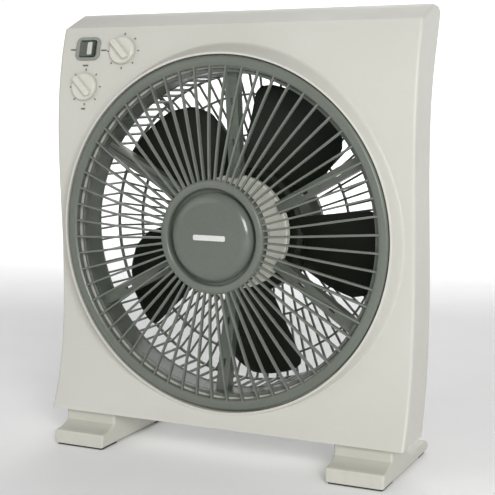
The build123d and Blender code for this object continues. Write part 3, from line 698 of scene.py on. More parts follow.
def carve(piece: Piece, cutter: Piece) -> Piece:
    """Cuts a closed shape out of a closed piece; the shape is removed.

    Args:
        piece: piece that loses the shape.
        cutter: the shape.

    Returns:
        The same piece with the opening.
    """
    modifier = piece.modifiers.new("opening", "BOOLEAN")
    modifier.operation = "DIFFERENCE"
    modifier.solver = "EXACT"
    modifier.object = cutter
    bake(piece)
    bpy.data.objects.remove(cutter)
    return piece


def settle(piece: Piece, place: Matrix = FAN_PLACE, bevel: float = 0.0, sharp: float = 32.0,
           bevel_angle: float = 40.0) -> Piece:
    """Puts a piece in its place in metres, rounds its sharp edges and shades it smooth.

    Args:
        piece: piece drawn in millimetres.
        place: matrix from its own frame to the row frame.
        bevel: width of the rounding in millimetres, or 0.
        sharp: angle in degrees past which an edge stays crisp.
        bevel_angle: angle in degrees past which an edge is rounded.

    Returns:
        The same piece with plain, placed mesh.
    """
    piece.data.transform(place)
    piece.data.shade_smooth()
    if bevel:
        edge = piece.modifiers.new("rounded edges", "BEVEL")
        edge.width = bevel * MM
        edge.segments = 2
        edge.limit_method = "ANGLE"
        edge.angle_limit = math.radians(bevel_angle)
        bake(piece)
    piece.data.set_sharp_from_angle(angle=math.radians(sharp))
    shade = piece.modifiers.new("even shading", "WEIGHTED_NORMAL")
    shade.keep_sharp = True
    return bake(piece)


def dress(piece: Piece, finish: Finish, body: Body, *nodes: str) -> Piece:
    """Gives a settled piece its finish and body, and hides the CAD nodes it stands for.

    Args:
        piece: settled piece.
        finish: its finish.
        body: the body it rides on.
        nodes: CAD nodes that it stands for.

    Returns:
        The same piece.
    """
    piece.data.materials.clear()
    piece.data.materials.append(finish.material())
    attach(piece, body.value)
    if nodes:
        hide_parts(*nodes)
    LOG.info("%s: %d faces on %s", piece.name, len(piece.data.polygons), body.value)
    return piece


def cad_copy(node: str, name: str, bevel: float = 0.0, flat: float = 0.6) -> Piece:
    """Clean, smoothly shaded copy of a CAD node, with its flat faces joined up.

    Args:
        node: CAD node.
        name: name of the copy.
        bevel: width of its rounding in millimetres.
        flat: angle in degrees below which faces join up.

    Returns:
        The settled copy.
    """
    source = frame["nodes"][node]
    work = bmesh.new()
    work.from_mesh(source.data)
    bmesh.ops.remove_doubles(work, verts=work.verts, dist=2e-6)
    bmesh.ops.dissolve_limit(work, angle_limit=math.radians(flat), verts=work.verts, edges=work.edges)
    piece = raw_piece(name, [], [])
    work.to_mesh(piece.data)
    work.free()
    return settle(piece, Matrix.Identity(4), bevel=bevel)


# ---------------------------------------------------------------- geometry node trees
def geometry_tree(name: str, sockets: Sequence[tuple[str, str]]) -> tuple[Tree, Node, Node]:
    """New modifier tree with a geometry input, named inputs and a geometry output.

    Args:
        name: name of the tree.
        sockets: (label, socket type) of each named input.

    Returns:
        The tree, its input node and its output node.
    """
    tree = bpy.data.node_groups.new(name, "GeometryNodeTree")
    tree.is_modifier = True
    tree.interface.new_socket(name="Geometry", in_out="INPUT", socket_type="NodeSocketGeometry")
    for label, kind in sockets:
        tree.interface.new_socket(name=label, in_out="INPUT", socket_type=kind)
    tree.interface.new_socket(name="Geometry", in_out="OUTPUT", socket_type="NodeSocketGeometry")
    return tree, tree.nodes.new("NodeGroupInput"), tree.nodes.new("NodeGroupOutput")


def end_tree(tree: Tree, source: Node, instances: Socket, sink: Node) -> None:
    """Ends a tree in Realize Instances and Set Material.

    Args:
        tree: the tree.
        source: its input node.
        instances: output to realize.
        sink: its output node.
    """
    realize = tree.nodes.new("GeometryNodeRealizeInstances")
    paint = tree.nodes.new("GeometryNodeSetMaterial")
    tree.links.new(instances, realize.inputs["Geometry"])
    tree.links.new(realize.outputs["Geometry"], paint.inputs["Geometry"])
    tree.links.new(source.outputs["Material"], paint.inputs["Material"])
    tree.links.new(paint.outputs["Geometry"], sink.inputs["Geometry"])


def turned_copies(tree: Tree, source: Node, geometry: Socket) -> Socket:
    """Copies of a geometry turned about the Y axis, from the inputs Count and First angle.

    Args:
        tree: the tree.
        source: its input node.
        geometry: output to repeat.

    Returns:
        The instances' output.
    """
    points = tree.nodes.new("GeometryNodePoints")
    tree.links.new(source.outputs["Count"], points.inputs["Count"])
    index = tree.nodes.new("GeometryNodeInputIndex")
    share = math_node(tree, "DIVIDE", index.outputs["Index"], source.outputs["Count"])
    turn = math_node(tree, "MULTIPLY_ADD", share.outputs[0], 2 * math.pi)
    tree.links.new(source.outputs["First angle"], turn.inputs[2])
    back = math_node(tree, "MULTIPLY", turn.outputs[0], -1.0)
    spin = tree.nodes.new("FunctionNodeAxisAngleToRotation")
    spin.inputs["Axis"].default_value = (0.0, 1.0, 0.0)
    tree.links.new(back.outputs[0], spin.inputs["Angle"])
    copies = tree.nodes.new("GeometryNodeInstanceOnPoints")
    tree.links.new(points.outputs["Points"], copies.inputs["Points"])
    tree.links.new(geometry, copies.inputs["Instance"])
    tree.links.new(spin.outputs["Rotation"], copies.inputs["Rotation"])
    return copies.outputs["Instances"]


def radial_tree() -> Tree:
    """The piece repeated evenly about the Y axis.

    Returns:
        The geometry tree.
    """
    tree, source, sink = geometry_tree("radial_copies", [
        ("Count", "NodeSocketInt"), ("First angle", "NodeSocketFloat"), ("Material", "NodeSocketMaterial")])
    end_tree(tree, source, turned_copies(tree, source, source.outputs["Geometry"]), sink)
    return tree


def bar_tree() -> Tree:
    """A bar of rounded section swept along the piece's edges, repeated about the Y axis.

    Returns:
        The geometry tree.
    """
    tree, source, sink = geometry_tree("radial_bars", [
        ("Bar depth", "NodeSocketFloat"), ("Bar thickness", "NodeSocketFloat"),
        ("Corner", "NodeSocketFloat"), ("Count", "NodeSocketInt"), ("First angle", "NodeSocketFloat"),
        ("Material", "NodeSocketMaterial")])
    line = tree.nodes.new("GeometryNodeMeshToCurve")
    upright = tree.nodes.new("GeometryNodeSetCurveNormal")
    upright.mode = "Z_UP"
    section = tree.nodes.new("GeometryNodeCurvePrimitiveQuadrilateral")
    rounding = tree.nodes.new("GeometryNodeFilletCurve")
    rounding.mode = "POLY"
    rounding.inputs["Count"].default_value = 2
    rounding.inputs["Limit Radius"].default_value = True
    sweep = tree.nodes.new("GeometryNodeCurveToMesh")
    sweep.inputs["Fill Caps"].default_value = True
    for start, end in (
            (source.outputs["Geometry"], line.inputs["Mesh"]),
            (line.outputs["Curve"], upright.inputs["Curve"]),
            (source.outputs["Bar depth"], section.inputs["Width"]),
            (source.outputs["Bar thickness"], section.inputs["Height"]),
            (section.outputs["Curve"], rounding.inputs["Curve"]),
            (source.outputs["Corner"], rounding.inputs["Radius"]),
            (upright.outputs["Curve"], sweep.inputs["Curve"]),
            (rounding.outputs["Curve"], sweep.inputs["Profile Curve"])):
        tree.links.new(start, end)
    end_tree(tree, source, turned_copies(tree, source, sweep.outputs["Mesh"]), sink)
    return tree


def placed_tree() -> Tree:
    """The piece repeated on the corners of another object.

    Returns:
        The geometry tree.
    """
    tree, source, sink = geometry_tree("placed_copies", [
        ("Places", "NodeSocketObject"), ("Material", "NodeSocketMaterial")])
    places = tree.nodes.new("GeometryNodeObjectInfo")
    places.transform_space = "RELATIVE"
    copies = tree.nodes.new("GeometryNodeInstanceOnPoints")
    tree.links.new(source.outputs["Places"], places.inputs["Object"])
    tree.links.new(places.outputs["Geometry"], copies.inputs["Points"])
    tree.links.new(source.outputs["Geometry"], copies.inputs["Instance"])
    end_tree(tree, source, copies.outputs["Instances"], sink)
    return tree


RADIAL = radial_tree()
BARS = bar_tree()
PLACED = placed_tree()


def grow(piece: Piece, tree: Tree, values: dict) -> Piece:
    """Runs a geometry tree on a piece and keeps the result as plain mesh.

    Args:
        piece: the object that feeds the tree.
        tree: the geometry node tree.
        values: value of each named input.

    Returns:
        The same object with the grown mesh.
    """
    modifier = piece.modifiers.new(tree.name, "NODES")
    modifier.node_group = tree
    for item in tree.interface.items_tree:
        if item.item_type == "SOCKET" and item.in_out == "INPUT" and item.name in values:
            modifier[item.identifier] = values[item.name]
    bpy.context.view_layer.update()
    return bake(piece)


def radial(piece: Piece, count: int, first: float, finish: Finish) -> Piece:
    """The piece repeated about the fan axis, its first angle in degrees."""
    return grow(piece, RADIAL, {
        "Count": count, "First angle": math.radians(first), "Material": finish.material()})


def radial_bars(name: str, line: Sequence[Point2], section: Point3, count: int, first: float,
                finish: Finish) -> Piece:
    """Bars along a line of (radius, depth), repeated about the fan axis.

    Args:
        name: name of the piece.
        line: middle line of one bar.
        section: depth, thickness and corner radius of its section.
        count: number of bars.
        first: polar angle of the first bar, in degrees.
        finish: their finish.

    Returns:
        The bars as one piece.
    """
    corners = [(radius, depth, 0.0) for radius, depth in line]
    piece = raw_piece(name, corners, [], [(i, i + 1) for i in range(len(corners) - 1)])
    depth, thick, corner = section
    grown = grow(piece, BARS, {
        "Bar depth": depth, "Bar thickness": thick, "Corner": corner, "Count": count,
        "First angle": math.radians(first), "Material": finish.material()})
    return weld(grown)


# ---------------------------------------------------------------- housing
class HousingOutline:
    """Side outline of the housing, read from the frame's own housing."""

    face_inset = 4.6
    wall_inset = 1.3
    probe_front = -150.0
    probe_rear = 180.0

    def __init__(self) -> None:
        """Builds a search tree of the CAD housing in the fan frame."""
        mesh = frame["nodes"]["front_housing"].data
        back = FAN_PLACE.inverted()
        spots = [back @ v.co for v in mesh.vertices]
        self.tree = BVHTree.FromPolygons(spots, [tuple(p.vertices) for p in mesh.polygons])
        self.half_width = max(abs(s.x) for s in spots)
        self.bottom = min(s.z for s in spots)
        self.cache: dict[tuple[str, float], float] = {}

    def probe(self, key: str, x: float, y: float, z: float, direction: float) -> float:
        """Depth of the first surface met from (x, y, z) along the fan axis.

        Args:
            key: name under which depths are kept.
            x: place across.
            y: depth of the start.
            z: height.
            direction: 1 to the back or -1 to the front.

        Returns:
            The depth.
        """
        found = self.cache.get((key, round(z, 4)))
        if found is None:
            hit = self.tree.ray_cast(Vector((x, y, z)), Vector((0.0, direction, 0.0)))[0]
            found = hit.y if hit else 0.0
            self.cache[(key, round(z, 4))] = found
        return found

    def front(self, z: float) -> float:
        """Depth of the front face at a height."""
        return self.probe("front", self.half_width - self.face_inset, self.probe_front, z, 1.0)

    def rear(self, z: float) -> float:
        """Depth of the side wall's rear edge at a height."""
        return self.probe("rear", self.half_width - self.wall_inset, self.probe_rear, z, -1.0)


@dataclass
class Housing:
    """The S-curved tray with its raised collar, and the panel and covers at its back."""

    wall: float = 2.6
    edge_radius: float = 3.0
    crest: float = 191.4
    bevel_end: Point2 = (63.0, 205.5)
    top_rear: Point2 = (75.5, 205.1)
    rear_lip: Point2 = (78.8, 203.3)
    recess_r: float = 163.3
    collar_r: float = 165.3
    collar_depth: float = 0.5
    collar_slope: float = 8.2 / 25.5
    seat_front: float = 8.6
    seat_back: float = 12.6
    seat_edge_r: float = 158.0
    duct_r: float = 151.0
    blend: float = 5.0
    turns: int = 264
    blend_steps: int = 14
    face_steps: int = 12
    inner_steps: int = 9
    edge_steps: int = 6
    bevel_steps: int = 4
    wall_steps: int = 56
    shaft_hole_r: float = 4.2
    window: Point2 = (21.2, 19.0)
    cut_from: float = -12.0
    cut_to: float = 5.0

    def __post_init__(self) -> None:
        """Reads the outline and fixes the angles that both skins share."""
        self.line = HousingOutline()
        self.low = self.line.bottom + 0.05
        flats = [self.flat(0.0), self.flat(self.wall)]
        angles = [2 * math.pi * i / self.turns for i in range(self.turns)]
        for half, low, high in flats:
            for x in (-half, half):
                angles += [math.atan2(z, x) % (2 * math.pi) for z in (low, high)]
        self.angles = sorted(set(round(a, 9) for a in angles))

    def flat(self, inset: float) -> tuple[float, float, float]:
        """Half width, lowest and highest height of the skin's front, for an inset.

        Args:
            inset: 0 for the outer skin, or the wall for the inner one.

        Returns:
            Half width, lowest height and highest height.
        """
        if inset:
            return self.line.half_width - inset, self.low + inset, self.crest - 0.9 * inset
        return self.line.half_width - 2 * self.edge_radius + 1.0, self.low, self.crest

    def reach(self, angle: float, inset: float) -> float:
        """Distance from the axis to the edge of the flat at an angle.

        Args:
            angle: polar angle in radians.
            inset: 0 or the wall.

        Returns:
            The distance.
        """
        half, low, high = self.flat(inset)
        c, s = math.cos(angle), math.sin(angle)
        across = half / abs(c) if abs(c) > 1e-9 else math.inf
        along = (high if s > 0 else low) / s if abs(s) > 1e-9 else math.inf
        return min(across, along)

    def collar_foot(self, angle: float) -> float:
        """Radius where the collar's cone meets the face at an angle.

        Args:
            angle: polar angle in radians.

        Returns:
            The radius.
        """
        foot = self.collar_r
        for _ in range(5):
            face = self.line.front(foot * math.sin(angle))
            foot = self.collar_r + max(0.0, face - self.collar_depth) * self.collar_slope
        return foot

    def surface(self, radius: float, angle: float) -> float:
        """Depth of the outside: the face and the collar, blended where they meet.

        Args:
            radius: distance from the axis.
            angle: polar angle in radians.

        Returns:
            The depth.
        """
        face = self.line.front(min(max(radius * math.sin(angle), self.low), self.crest))
        cone = self.collar_depth + (radius - self.collar_r) / self.collar_slope
        near = max(self.blend - abs(face - cone), 0.0) / self.blend
        return min(face, cone) - near * near * self.blend / 4

    def outer_ray(self, angle: float) -> list[Point2]:
        """Outer skin along one ray, from the duct to the edge of the flat, as (radius, depth).

        Args:
            angle: polar angle in radians.

        Returns:
            The points of the ray.
        """
        top = self.surface(self.collar_r, angle)
        ray = [(self.duct_r, self.seat_back), (self.duct_r, self.seat_front + 0.6),
               (self.duct_r + 0.6, self.seat_front), (self.recess_r - 0.5, self.seat_front),
               (self.recess_r, self.seat_front - 0.5), (self.recess_r, top + 0.5),
               (self.recess_r + 0.15, top + 0.12), (self.recess_r + 0.5, top),
               (self.collar_r - 0.6, top)]
        blend_end = self.collar_foot(angle) + 3.4
        blended = np.linspace(self.collar_r + 0.1, blend_end, self.blend_steps)
        rest = np.linspace(blend_end, self.reach(angle, 0.0), self.face_steps)[1:]
        return ray + [(r, self.surface(r, angle)) for r in (*blended, *rest)]

    def inner_ray(self, angle: float) -> list[Point2]:
        """Inner skin along one ray, behind the face by the wall.

        Args:
            angle: polar angle in radians.

        Returns:
            The points of the ray, as (radius, depth).
        """
        edge = self.recess_r + 3.0
        foot = max(edge + 0.7, self.collar_foot(angle) + 0.5)
        ray = [(r, self.seat_back) for r in (self.duct_r, self.seat_edge_r, edge)]
        _, low, high = self.flat(self.wall)
        for r in np.linspace(foot, self.reach(angle, self.wall), self.inner_steps):
            z = min(max(r * math.sin(angle), low), high)
            ray.append((r, self.line.front(z) + self.wall))
        return ray

    def side_heights(self, inset: float) -> list[float]:
        """Heights of the flat's side corners, from low to high.

        Args:
            inset: 0 or the wall.

        Returns:
            The heights.
        """
        half, low, high = self.flat(inset)
        heights = {round(half * math.tan(a), 6) for a in self.angles
                   if math.cos(a) > 0 and abs(self.reach(a, inset) * math.cos(a) - half) < 1e-6}
        return sorted(heights | {low, high})

    def outline(self, inset: float, skin: float) -> list[Point2]:
        """Side outline from the bottom's rear edge round to the top's, moved in by an inset.

        Args:
            inset: how far the outline lies inside the skin's own.
            skin: 0 for the outside, or the wall for the inside.

        Returns:
            The outline as (depth, height).
        """
        _, low, high = self.flat(skin)
        bottom = low + inset
        crest = high - 0.87 * inset
        points = [(self.line.rear(self.low) - 0.1, bottom)]
        for z in self.side_heights(skin):
            z = min(max(z, bottom), crest)
            points.append((self.line.front(z) + skin + inset, z))
        shift = 1.1 * skin + inset
        end = (self.bevel_end[0], self.bevel_end[1] - shift)
        start = points[-1]
        for k in range(1, self.bevel_steps + 1):
            share = k / self.bevel_steps
            points.append((start[0] + (end[0] - start[0]) * share, start[1] + (end[1] - start[1]) * share))
        if skin:
            points.append((self.rear_lip[0] - 0.3, end[1]))
        else:
            points.append((self.top_rear[0], self.top_rear[1] - inset))
            points.append((self.rear_lip[0], self.rear_lip[1] - inset))
        return points

    def skin_parts(self, skin: float) -> tuple[list, list]:
        """Corners and faces of one skin; equal corners are merged later.

        Args:
            skin: 0 for the outside, or the wall for the inside.

        Returns:
            Corners and faces.
        """
        corners: list[Point3] = []
        faces: list[tuple[int, ...]] = []

        def sheet(rows: list[list[Point3]], closed: bool) -> None:
            """Adds a grid of quads."""
            base, width = len(corners), len(rows[0])
            for row in rows:
                corners.extend(row)
            for i in range(len(rows) if closed else len(rows) - 1):
                for k in range(width - 1):
                    a, b = base + i * width + k, base + ((i + 1) % len(rows)) * width + k
                    faces.append((a, a + 1, b + 1, b))

        make = self.inner_ray if skin else self.outer_ray
        rows = [[(r * math.cos(a), d, r * math.sin(a)) for r, d in make(a)] for a in self.angles]
        sheet(rows, True)
        half, low, high = self.flat(skin)
        strip = [(half, 0.0)]
        if not skin:
            flat_end = self.line.half_width - self.edge_radius
            for turn in np.linspace(0.0, math.pi / 2, self.edge_steps + 1):
                strip.append((flat_end + self.edge_radius * math.sin(turn),
                              self.edge_radius * (1 - math.cos(turn))))
        for side in (-1.0, 1.0):
            grid = [[(side * x, y, z) for y, z in self.outline(inset, skin)] for x, inset in strip]
            if len(grid) > 1:
                sheet(grid, False)
            cap = list(grid[-1])
            top_z, bottom_z = cap[-1][2], cap[0][2]
            edge = [(side * strip[-1][0], self.line.rear(z) - 0.02, z)
                    for z in np.linspace(top_z - 1.5, bottom_z + 2.5, self.wall_steps)]
            base = len(corners)
            corners.extend(cap + edge)
            faces.append(tuple(range(base, len(corners))))
        for height, top in ((high, True), (low, False)):
            xs = sorted({round(height / math.tan(a), 6) for a in self.angles
                         if abs(math.sin(a)) > 1e-6 and (math.sin(a) > 0) == top
                         and abs(self.reach(a, skin) * math.sin(a) - height) < 1e-6} | {-half, half})
            profile = self.outline(0.0, skin)
            cut = profile[len(self.side_heights(skin)):] if top else profile[:2]
            sheet([[(x, y, z) for y, z in cut] for x in xs], False)
        return corners, faces

    def shell(self) -> Piece:
        """The tray as one closed wall: outer skin, inner skin and the rear rim between them.

        Returns:
            The closed shell in millimetres.
        """
        work = bmesh.new()
        for skin in (0.0, self.wall):
            part = raw_piece("skin", *self.skin_parts(skin))
            skin_mesh = bmesh.new()
            skin_mesh.from_mesh(part.data)
            bmesh.ops.remove_doubles(skin_mesh, verts=skin_mesh.verts, dist=SKIN_SEAM)
            bmesh.ops.dissolve_degenerate(skin_mesh, edges=skin_mesh.edges, dist=SKIN_SEAM)
            skin_mesh.to_mesh(part.data)
            skin_mesh.free()
            work.from_mesh(part.data)
            bpy.data.objects.remove(part)
        bmesh.ops.remove_doubles(work, verts=work.verts, dist=SKIN_SEAM)
        rim = [edge for edge in work.edges if len(edge.link_faces) == 1]
        LOG.info("housing rim: %d open edges", len(rim))
        bmesh.ops.bridge_loops(work, edges=rim)
        bmesh.ops.recalc_face_normals(work, faces=work.faces)
        left = sum(1 for edge in work.edges if len(edge.link_faces) != 2)
        LOG.info("housing: %d edges not closed", left)
        piece = raw_piece("housing_shell", [], [])
        work.to_mesh(piece.data)
        work.free()
        return piece

    def build(self) -> None:
        """Builds the housing and dresses the fixed parts at its back."""
        shell = self.shell()
        shell.data.transform(FAN_PLACE)
        for joint in ("speed_turn", "timer_turn"):
            profile = [(0.0, self.cut_from), (self.shaft_hole_r, self.cut_from),
                       (self.shaft_hole_r, self.cut_to), (0.0, self.cut_to)]
            hole = lathe("hole", profile, 48, upright=True)
            hole.data.transform(face_place(joint))
            carve(shell, hole)
        window = prism("window", rounded_rectangle(*self.window, 1.0), self.cut_from, self.cut_to, 0.0,
                       "uvt", 1)
        window.data.transform(switch_place())
        carve(shell, window)
        settle(shell, Matrix.Identity(4), bevel=0.5, sharp=34.0, bevel_angle=48.0)
        dress(shell, HOUSING, Body.FRAME, "front_housing")
        for node, name in (("back_panel", "rear_panel"), ("control_cover", "control_pocket_cover")):
            dress(cad_copy(node, name, bevel=0.35), HOUSING, Body.FRAME, node)
        plate = cad_copy("rating_plate", "blank_plate", bevel=0.15)
        dress(plate, BADGE, Body.FRAME, "rating_plate")


PIN_DEPTH = 5.0


def face_place(joint: str) -> Matrix:
    """Matrix of a control's own frame: X to the right, Y up the face and Z out of it."""
    data = JOINTS[joint]
    return axes_place(Vector(data["pos_m"]), -Vector(data["axis"]))


def axes_place(origin: Vector, out: Vector) -> Matrix:
    """Matrix from millimetres to the row frame, with Z along an outward direction.

    Args:
        origin: place of the origin in metres.
        out: outward direction.

    Returns:
        The matrix.
    """
    right = Vector((1.0, 0.0, 0.0))
    up = out.cross(right)
    turn = Matrix((right, up, out)).transposed().to_4x4()
    return Matrix.Translation(origin) @ turn @ Matrix.Scale(MM, 4)


def switch_place() -> Matrix:
    """Matrix of the louver switch's frame, on the face in front of its pin.

    Returns:
        The matrix.
    """
    data = JOINTS["rocker_tilt"]
    up = Vector(data["axis"])
    out = Vector((1.0, 0.0, 0.0)).cross(up)
    return axes_place(Vector(data["pos_m"]) + out * PIN_DEPTH * MM, out)


# ---------------------------------------------------------------- feet
@dataclass
class Foot:
    """High toe, neck under the housing and a long thin tail, with rubber soles."""

    width: float = 55.0
    edge_radius: float = 2.6
    toe: float = -20.8
    low: float = -208.2
    neck_front: float = 0.8
    neck_back: float = 44.0
    tail: float = 109.0
    top: float = -178.0
    sole_depth: float = 1.2

    def outline(self) -> list[Point2]:
        """Side outline from the bottom of the toe over the neck to the bottom of the tail.

        Returns:
            The outline as (depth, height).
        """
        points = [(self.toe, self.low)]
        points += [(self.toe, -197.6), (self.toe + 0.9, -195.6), (self.toe + 3.0, -194.9)]
        points += curve_through(points[-1], (-7.0, -193.2), (self.neck_front - 1.6, -190.4), 6)[1:]
        points += [(self.neck_front - 0.4, -189.6), (self.neck_front, -188.4), (self.neck_front, self.top)]
        points += [(self.neck_back, self.top), (self.neck_back, -190.0)]
        points += curve_through((self.neck_back, -190.0), (52.0, -195.6), (64.0, -197.4), 8)[1:]
        points += [(self.tail - 4.0, -198.4)]
        points += arc_points((self.tail - 4.0, -203.3), 4.0, 78.0, -78.0, 8)
        return points + [(self.tail - 4.0, self.low)]

    def build(self) -> None:
        """Builds both feet and their soles."""
        soles = []
        for node, name in (("foot_left", "left_foot"), ("foot_right", "right_foot")):
            low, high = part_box(node)
            middle = (low.x + high.x) / 2 / MM
            foot = prism(name, self.outline(), middle - self.width / 2, middle + self.width / 2,
                         self.edge_radius, "tuv", 5)
            dress(settle(foot, bevel=0.5, bevel_angle=50.0), FEET, Body.FRAME, node)
            for front, back in ((self.toe + 1.4, 9.0), (84.0, self.tail - 6.0)):
                outline = [(middle + x, (front + back) / 2 + y)
                           for x, y in rounded_rectangle(51.0, back - front, 2.0)]
                soles.append(prism("sole", outline, -210.0, self.low + self.sole_depth, 0.5, "uvt", 2))
        dress(settle(joined("rubber_soles", soles)), RUBBER, Body.FRAME, "sole_pads")


# ---------------------------------------------------------------- rotating grille
@dataclass
class LouverGrille:
    """Rim, sixty radial vanes and hub of the grille that turns, with its cap."""

    vanes: int = 60
    first_vane: float = 3.0
    vane_depth: float = 4.2
    vane_thickness: float = 1.9
    vane_line: tuple[Point2, Point2, Point2] = ((50.0, -10.4), (103.0, -5.4), (153.6, 2.9))
    cap_r: float = 40.7
    front: float = -14.8

    def rim(self) -> Piece:
        """Outer rim with its rolled front."""
        profile = [(152.4, 1.6), (154.0, 0.2), (156.4, -0.2), (160.2, 0.3), (162.0, 1.8), (162.0, 7.0),
                   (159.8, 7.0), (159.8, 3.0), (154.6, 3.0), (154.6, 7.0), (152.4, 7.0)]
        return lathe("rim", soften(profile, 0.6), 240)

    def hub(self) -> Piece:
        """Hub dish with its raised ring."""
        profile = [(3.5, -6.0), (44.0, -6.0), (44.0, -12.6), (45.2, -14.2), (48.0, self.front),
                   (50.6, -14.0), (51.8, -12.0), (51.8, -3.5), (8.0, -3.5), (8.0, 12.0), (3.5, 12.0)]
        return lathe("hub", soften(profile, 0.8), 160)

    def cap(self) -> Piece:
        """Domed centre cap with a soft edge.

        Returns:
            The closed cap.
        """
        profile = curve_through((0.0, -17.4), (15.0, -17.25), (29.0, -16.6), 8)
        profile += curve_through((29.0, -16.6), (37.4, -14.7), (self.cap_r, -11.0), 10)[1:]
        profile += [(self.cap_r, -6.05), (38.7, -6.05), (38.7, -11.0), (35.0, -13.6), (0.0, -15.2)]
        return lathe("centre_cap", profile, 160)

    def badge(self) -> Piece:
        """Blank raised bar on the cap."""
        return prism("blank_badge", rounded_rectangle(32.0, 5.0, 1.4), -17.95, -16.2, 0.35, "utv", 3)

    def build(self) -> None:
        """Builds the grille, its cap and the badge."""
        line = curve_through(*self.vane_line, 20)
        section = (self.vane_depth, self.vane_thickness, 0.7)
        vanes = radial_bars("vanes", line, section, self.vanes, self.first_vane, GREY)
        grille = joined("louver_wheel", [self.rim(), self.hub(), vanes])
        dress(settle(grille, sharp=36.0), GREY, Body.GRILLE, "louver_grille")
        dress(settle(self.cap()), CAP, Body.GRILLE, "hub_cap")
        dress(settle(self.badge()), BADGE, Body.GRILLE, "cap_badge")


# ---------------------------------------------------------------- fan
def at_radius(table: Sequence[Point2], radius: float) -> float:
    """Angle in degrees at a radius, between the (radius, angle) pairs of a table."""
    return float(np.interp(radius, *zip(*table)))


@dataclass
class FanWheel:
    """Five broad swept blades on a cup-shaped hub."""

    blades: int = 5
    first_blade: float = 60.5
    middle: float = 63.0
    tip_r: float = 140.0
    root_r: float = 60.6
    thickness: float = 2.4
    camber: float = 2.2
    tip_fade: float = 4.0
    span_steps: int = 24
    chord_steps: int = 28
    pitches: Sequence[Point2] = ((56.0, 36.0), (100.0, 23.0), (150.0, 14.0))
    low_edge: Sequence[Point2] = (
        (60.0, -26.0), (90.0, -24.0), (118.0, -20.0), (132.0, -14.0), (140.0, -5.0))
    high_edge: Sequence[Point2] = (
        (60.0, 26.0), (104.0, 23.0), (131.0, 22.0), (137.0, 20.5), (140.0, 16.5))

    def blade(self) -> Piece:
        """One blade: two cambered skins that close to a thin rounded edge.

        Returns:
            The closed blade about the X axis.
        """
        shares = np.linspace(0.0, 1.0, self.span_steps + 1)
        radii = [self.root_r + (self.tip_r - self.root_r) * (1 - (1 - t) ** 1.35) for t in shares]
        chord = np.linspace(-1.0, 1.0, self.chord_steps + 1)
        sides = []
        for face in (-1.0, 1.0):
            for radius in radii:
                low = at_radius(self.low_edge, radius)
                high = at_radius(self.high_edge, radius)
                tip = min(1.0, (self.tip_r - radius) / self.tip_fade + 0.25)
                for c in chord:
                    angle = math.radians((low + high) / 2 + c * (high - low) / 2)
                    x, z = radius * math.cos(angle), radius * math.sin(angle)
                    depth = self.middle - math.tan(math.radians(at_radius(self.pitches, x))) * z
                    depth += self.camber * (c * c - 0.5)
                    fullness = 0.25 + 0.75 * math.sqrt(max(0.0, 1 - abs(c) ** 5))
                    sides.append((x, depth + face * self.thickness / 2 * tip * fullness, z))
        rows, columns = len(radii), len(chord)
        layer = rows * columns
        faces = []
        for i in range(rows - 1):
            for k in range(columns - 1):
                a = i * columns + k
                faces.append((a, a + 1, a + columns + 1, a + columns))
                faces.append((a + layer, a + layer + columns, a + layer + columns + 1, a + layer + 1))
        border = list(range(columns)) + [i * columns + columns - 1 for i in range(1, rows)]
        border += [(rows - 1) * columns + k for k in range(columns - 2, -1, -1)]
        border += [i * columns for i in range(rows - 2, 0, -1)]
        for a, b in zip(border, border[1:] + border[:1]):
            faces.append((a, b, b + layer, a + layer))
        return weld(raw_piece("blade", sides, faces), 1e-5)

    def hub(self) -> Piece:
        """Cup-shaped hub, open to the back."""
        profile = [(4.0, 50.0), (58.0, 50.0), (62.0, 53.0), (62.0, 78.0), (59.5, 78.0), (59.5, 54.0),
                   (57.0, 52.6), (9.0, 52.6), (9.0, 72.0), (4.0, 72.0)]
        return lathe("fan_hub", soften(profile, 0.8), 120)

    def build(self) -> None:
        """Builds the wheel as one piece."""
        blades = radial(self.blade(), self.blades, self.first_blade, BLADE)
        wheel = joined("fan_wheel", [blades, self.hub()])
        dress(settle(wheel, sharp=40.0), BLADE, Body.FAN, "fan_blades")
        nut = cad_copy("blade_nut", "locking_nut", bevel=0.2)
        dress(nut, BLADE, Body.FAN, "blade_nut")


# ---------------------------------------------------------------- spider and guard
@dataclass
class Spider:
    """Fixed inner frame behind the grille, a grey lip of painted shade in the duct, and the pale disc at its
    centre, brightened with painted light.
    """

    disc_r: float = 53.4
    lip_front: float = 8.0

    def lip(self) -> Piece:
        """Thin grey lip lining the duct opening: painted shade, a dark sheet that hides the housing's pale seat
        where the duct lies in shade.
        """
        profile = [(147.8, self.lip_front), (150.8, self.lip_front), (150.8, 12.8), (147.8, 12.8)]
        return lathe("duct_lip", soften(profile, 0.6), 220)

    def disc(self) -> Piece:
        """Shallow dish that covers the centre of the frame.

        Returns:
            The closed dish.
        """
        r = self.disc_r
        profile = [(25.3, 38.2)] + curve_through((30.0, 37.9), (44.0, 36.6), (r - 2.6, 35.2), 6)
        profile += [(r - 0.9, 35.1), (r, 36.0), (r, 41.8), (25.3, 41.8)]
        return lathe("drive_disc", profile, 180)

    def build(self) -> None:
        """Builds the frame, the grey lip of painted shade and the pale disc with its painted light."""
        dress(cad_copy("spider_frame", "spider", bevel=0.3), GREY, Body.FRAME, "spider_frame")
        # Grey lip: painted shade laid over the housing's pale duct seat.
        dress(settle(self.lip()), GREY, Body.FRAME)
        # The disc's colour carries painted light as well as its own pale tone.
        dress(settle(self.disc()), DISC_WITH_PAINTED_LIGHT, Body.FRAME)


